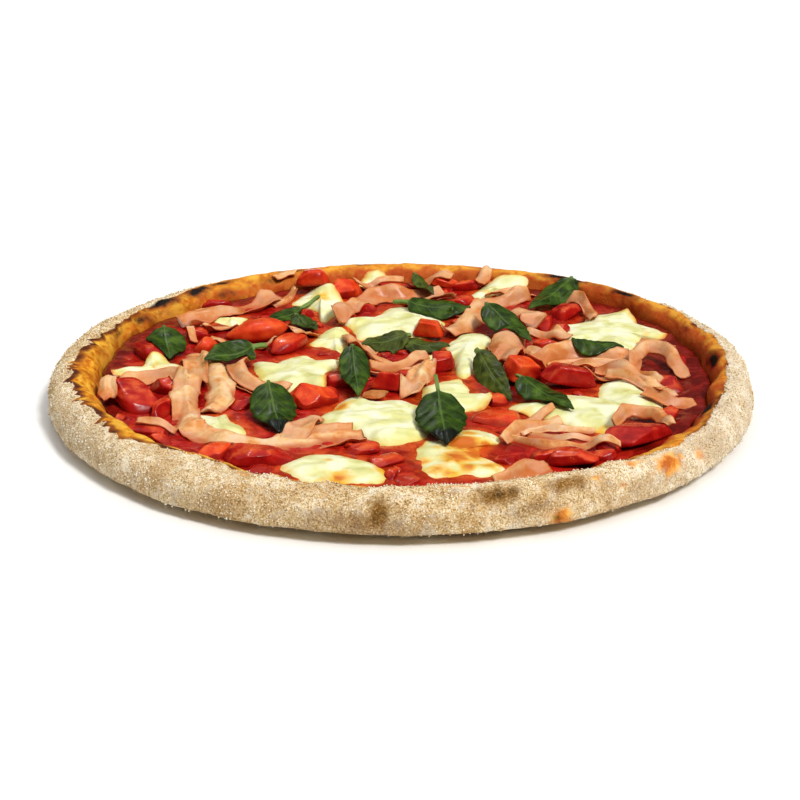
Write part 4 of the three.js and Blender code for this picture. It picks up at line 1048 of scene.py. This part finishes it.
def ham_strip(seed, tone, line, width, roll, lean, arch=0.0):
    """A thin cut strip that leans, curls and ruffles as it lies."""
    centre, ahead, length = route(line, HAM_STEP)
    side = np.concatenate([[-1, -0.95], np.linspace(-0.85, 0.85, 13), [0.95, 1]])[None, :]
    gone = np.linspace(0, length, len(centre))[:, None]

    def wave(size, octaves, which, across=0.0):
        return noise(xyz(gone, 40.0 * across, 9.0 * seed + which), size, octaves, 43)

    centre = centre + np.stack([ahead[:, 1], -ahead[:, 0]], 1) * (1.1 * wave(14, 2, 0))
    half = np.sign(side)
    from_end = np.minimum(gone + 2 * wave(4, 2, 5, half), length - gone + 2 * wave(4, 2, 6, half))
    tilt = lean + 0.6 * wave(26, 1, 1) + 0.12 * wave(7, 1, 2)
    across = side * width / 2 * (0.97 + 0.26 * wave(16, 2, 3, half) + 0.08 * wave(3.5, 2, 4, half))
    across = across * (0.74 + 0.26 * ease(-1, 0.6 * width, from_end))
    shift = across * 0.7 * (seeded(seed + 0.5) - 0.5) * np.cos(np.pi * gone / length)
    flat = across * np.cos(tilt)
    x = centre[:, :1] + ahead[:, 1:] * flat + ahead[:, :1] * shift
    y = centre[:, 1:] - ahead[:, :1] * flat + ahead[:, 1:] * shift
    ground = relief.ground(x, y, 1, 2)
    hover = 0.2 + 0.7 * wave(11, 1, 7) + roll * (1 - side**2) + arch * np.sin(np.pi * gone / length)
    rise = -across * np.sin(tilt) + 0.42 * width * np.abs(np.sin(tilt))
    curl = 1.0 * wave(22, 1, 8) * width / 2 * (side**2 - 0.4)
    crease = 0.9 * wave(26, 1, 11) * width / 2 * (np.abs(side - 0.7 * wave(30, 1, 10)) - 0.5)
    ruffle = crease + 1.3 * np.abs(side) ** 1.6 * wave(8, 2, 9, half)
    low = np.maximum(ground + 0.1, np.median(ground, 1, keepdims=True) + hover + rise + curl + ruffle)
    low = relief.softened(low, x, y, 0.1, 2)
    crinkle = 0.15 * (1 + noise(xyz(x, y, low), 3.2, 2, 42))
    face = (0.45 - 0.25 * (np.abs(side) > 0.98)) * (1 + 0 * gone)
    drop = -np.sin(tilt) * face
    thick = face * np.cos(tilt) + 0.15
    upper = xyz(x - ahead[:, 1:] * drop, y + ahead[:, :1] * drop, low + crinkle + thick)
    points, quads, tris = sheet(upper, xyz(x, y, low + crinkle))
    rim = np.maximum(np.abs(side) + 0 * gone, ease(1.4, 0, from_end))
    # Sauce stain where the strip lies low by the sauce, and painted shade where it dips below its nearby
    # folds.
    sunk = ease(2.8, 0.2, low - SAUCE_TOP)
    around = np.pad(low, ((HAM_REACH, HAM_REACH), (0, 0)), "edge").max(1)
    crest = np.max([around[k : k + len(low)] for k in range(2 * HAM_REACH + 1)], 0)[:, None]
    hollow_shade = ease(0.4, 4.5, crest - low)
    values = {
        "edge": with_ends(np.concatenate([rim, 0.96 + 0 * rim], 1)),
        "low": two_sided(np.maximum(sunk, 0.55 * hollow_shade)),
        "streak": two_sided(across + 9 * seed),
        "along": two_sided(gone + 0 * across),
        "tone": np.full(len(points), tone),
    }
    return points, quads, tris, values


def basil_leaf(name, x, y, turn, length, width, stem, lift, roll, tone, scorch):
    """A leaf with its stem, puckered between the veins, that rests on what lies under it."""
    columns, rows = LEAF_GRID
    whole = stem + length
    share = np.linspace(0, 1, rows)[:, None]
    side = np.linspace(-1, 1, columns)[None, :]
    blade = (share * whole - stem) / length
    shoulder = np.sin(math.pi * np.clip(blade, 0, 1) ** 0.62).clip(0) ** (0.6 + 0.45 * np.clip(blade, 0, 1))
    tooth = 1 + 0.035 * np.sin(blade * 40) * ease(0.05, 0.3, blade)
    half = np.where(blade > 0, 0.4 + (width / 2 - 0.4) * shoulder * tooth, 0.8)
    half = np.maximum(half, 0.8 * ease(0.12, 0.0, blade))
    across = side * half
    px, py = placed(x, y, turn, share * whole - stem - length / 2, -across)
    tip = relief.ground(*placed(x, y, turn, np.array([length / 2]), np.array([0.0])), 2, 2)[0]
    tilt = math.tan(math.radians(roll))
    arch = lift * (1 - share) + 0.7 * np.sin(3 * math.pi * share)
    plane = tip + 0.3 + arch - 0.3 * np.abs(across) + tilt * across
    low = np.maximum(relief.ground(px, py, 1, 2) + 0.1, plane)
    solid = [corner.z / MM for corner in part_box(name)]
    low = low + np.clip(sum(solid) / 2 - (low.min() + low.max()) / 2 - 0.4, -4, 1)
    low = relief.softened(low, px, py, 0.15, 4)
    run = blade * VEINS - np.abs(side) * VEIN_SLANT
    pucker = 0.34 * np.abs(np.cos(math.pi * run)) ** 0.9 * ease(0.0, 0.2, blade) * ease(1.0, 0.75, blade)
    pucker = pucker * ease(0.02, 0.25, np.abs(side)) * ease(1.05, 0.8, np.abs(side))
    wavy = 1.1 * noise(xyz(px, py), 11, 2, 51) * np.abs(side) * ease(0, 0.2, blade)
    rib = -0.45 * np.exp(-((across / 0.8) ** 2)) * ease(0.0, 0.1, blade)
    thick = 0.45 + 0.75 * ease(0.1, 0.0, blade)
    mid = low + np.clip(pucker + wavy, -0.15, None)
    points, quads, tris = sheet(xyz(px, py, mid + thick + rib), xyz(px, py, mid + rib * 0.5))
    values = {
        "side": two_sided(side + 0 * share),
        "way": two_sided(blade + 0 * side),
        "tone": np.full(len(points), tone),
        "scorch": np.full(len(points), scorch),
    }
    return points, quads, tris, values


flour_grains(*crust())
sauce_part = sauce()
relief.cover((sauce_part[0] - (0, 0, SETTLE), *sauce_part[1:3]))

bits = []
for piece in SUNKEN_TOMATOES:
    bits.append(tomato_block(*piece, SAUCE_TOP - 2.0, SUNKEN_GRID))
    relief.cover(bits[-1])

before = relief.top.copy()
for name, patches in MOZZARELLA:
    lay(name + "_melted", joined([mozzarella_patch(patch) for patch in patches]), "mozzarella", [name])
lay("mozzarella_scraps", joined([mozzarella_patch(patch) for patch in MOZZARELLA_SCRAPS]), "mozzarella")
cheese = (relief.top > before + 0.3).astype(float)

near_cheese = np.clip(Relief.blurred(cheese, 4) * 1.6, 0, 1)
sauce_part[3]["warm"] = Relief.at(near_cheese, sauce_part[0][:, 0], sauce_part[0][:, 1])
make("sauce_spread", sauce_part, paints["sauce"], ["sauce"])

for piece in TOMATO_BITS:
    bits.append(tomato_block(*piece, bed(*piece[:4]) - BIT_SUNK, BIT_GRID))
    relief.cover(bits[-1])

for name, *piece, sunk in TOMATOES:
    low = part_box(name)[0].z / MM
    lay(name + "_flesh", tomato_block(*piece, low - sunk, TOMATO_GRID), "tomato", [name])

rng = np.random.default_rng(8)
scattered = 0
for _ in range(SCATTER_TRIES):
    far, around = SCATTER_REACH * math.sqrt(rng.random()), 2 * math.pi * rng.random()
    x, y = far * math.cos(around), far * math.sin(around)
    size, turn = 3.5 + 4 * rng.random(), 180 * rng.random()
    tall, tone = 1.6 + 1.8 * rng.random(), rng.random() ** 1.5
    level = bed(x, y, size, size)
    on_cheese = Relief.at(cheese, np.array([x]), np.array([y]))[0] > 0
    if scattered < SCATTERED_BITS and level <= SAUCE_TOP + 1.5 and not on_cheese:
        piece = (x, y, size, size * 0.7, tall, turn, tone, 5)
        bits.append(tomato_block(*piece, level - BIT_SUNK, SCATTERED_GRID))
        relief.cover(bits[-1])
        scattered += 1
make("tomato_bits", joined(bits), paints["tomato"])

shreds = [ham_strip(40.3 + k, 0.25 + 0.5 * seeded(k), *shred) for k, shred in enumerate(HAM_SHREDS)]
lay("ham_shreds", joined(shreds), "ham")
for number, (name, tone, strips) in enumerate(HAM):
    slices = [ham_strip(number + 0.37 * k + 1, tone, *strip) for k, strip in enumerate(strips)]
    lay(name + "_slices", joined(slices), "ham", [name])

for leaf in BASIL:
    lay(leaf[0] + "_leaf", basil_leaf(*leaf), "basil", [leaf[0]])


# Floor, light and camera


def floor_paint():
    p = Paint("floor_paint")
    return p.finish(p.ramp(p.noise(900.0, 2), (0.3, (240, 240, 240)), (0.7, (244, 244, 243))), 0.7)


floor_mesh = bpy.data.meshes.new("floor")
floor_mesh.from_pydata([(-6, -6, 0), (6, -6, 0), (6, 6, 0), (-6, 6, 0)], [], [(0, 1, 2, 3)])
floor = bpy.data.objects.new("floor", floor_mesh)
floor.location.z = -0.0004
floor_mesh.materials.append(floor_paint())
bpy.context.collection.objects.link(floor)

# A white room that is brighter overhead
scene = bpy.context.scene
scene.world = bpy.data.worlds.new("studio")
scene.world.use_nodes = True
sky = scene.world.node_tree
direction = sky.nodes.new("ShaderNodeTexCoord")
axes = sky.nodes.new("ShaderNodeSeparateXYZ")
brightness = sky.nodes.new("ShaderNodeMapRange")
sky.links.new(direction.outputs["Generated"], axes.inputs[0])
sky.links.new(axes.outputs[2], brightness.inputs["Value"])
brightness.inputs["From Min"].default_value = 0.5
brightness.inputs["To Min"].default_value = 0.05
brightness.inputs["To Max"].default_value = 1.3
sky.links.new(brightness.outputs[0], sky.nodes["Background"].inputs["Strength"])
sky.nodes["Background"].inputs["Color"].default_value = (1.0, 1.0, 1.0, 1.0)
scene.view_settings.view_transform = "Standard"
scene.view_settings.look = "None"


def lamp(name, kind, place, power):
    """A lamp that faces the pizza."""
    light = bpy.data.lights.new(name, kind)
    light.energy = power
    item = bpy.data.objects.new(name, light)
    item.location = place
    item.rotation_euler = (-item.location).to_track_quat("-Z", "Y").to_euler()
    bpy.context.collection.objects.link(item)
    return light


back = lamp("back", "AREA", (-0.25, 0.65, 0.75), 0.8)
back.shape = "DISK"
back.size = 0.10
key = lamp("key", "SUN", (0.46, -0.52, 0.84), 2.7)
key.angle = math.radians(14)
key.color = (1.0, 0.98, 0.94)

ELEVATION = math.radians(21)
DISTANCE = 0.832
PHOTO_WIDTH = 800
FOCAL_PIXELS = 1801
HORIZON_PIXELS = 3.6
SENSOR_WIDTH = 36.0
camera_data = bpy.data.cameras.new("camera")
camera_data.sensor_width = SENSOR_WIDTH
camera_data.lens = SENSOR_WIDTH * FOCAL_PIXELS / PHOTO_WIDTH
camera_data.shift_y = -HORIZON_PIXELS / PHOTO_WIDTH
camera = bpy.data.objects.new("camera", camera_data)
camera.location = (0, -DISTANCE * math.cos(ELEVATION), DISTANCE * math.sin(ELEVATION))
camera.rotation_euler = (math.pi / 2 - ELEVATION, 0, 0)
bpy.context.collection.objects.link(camera)
scene.camera = camera
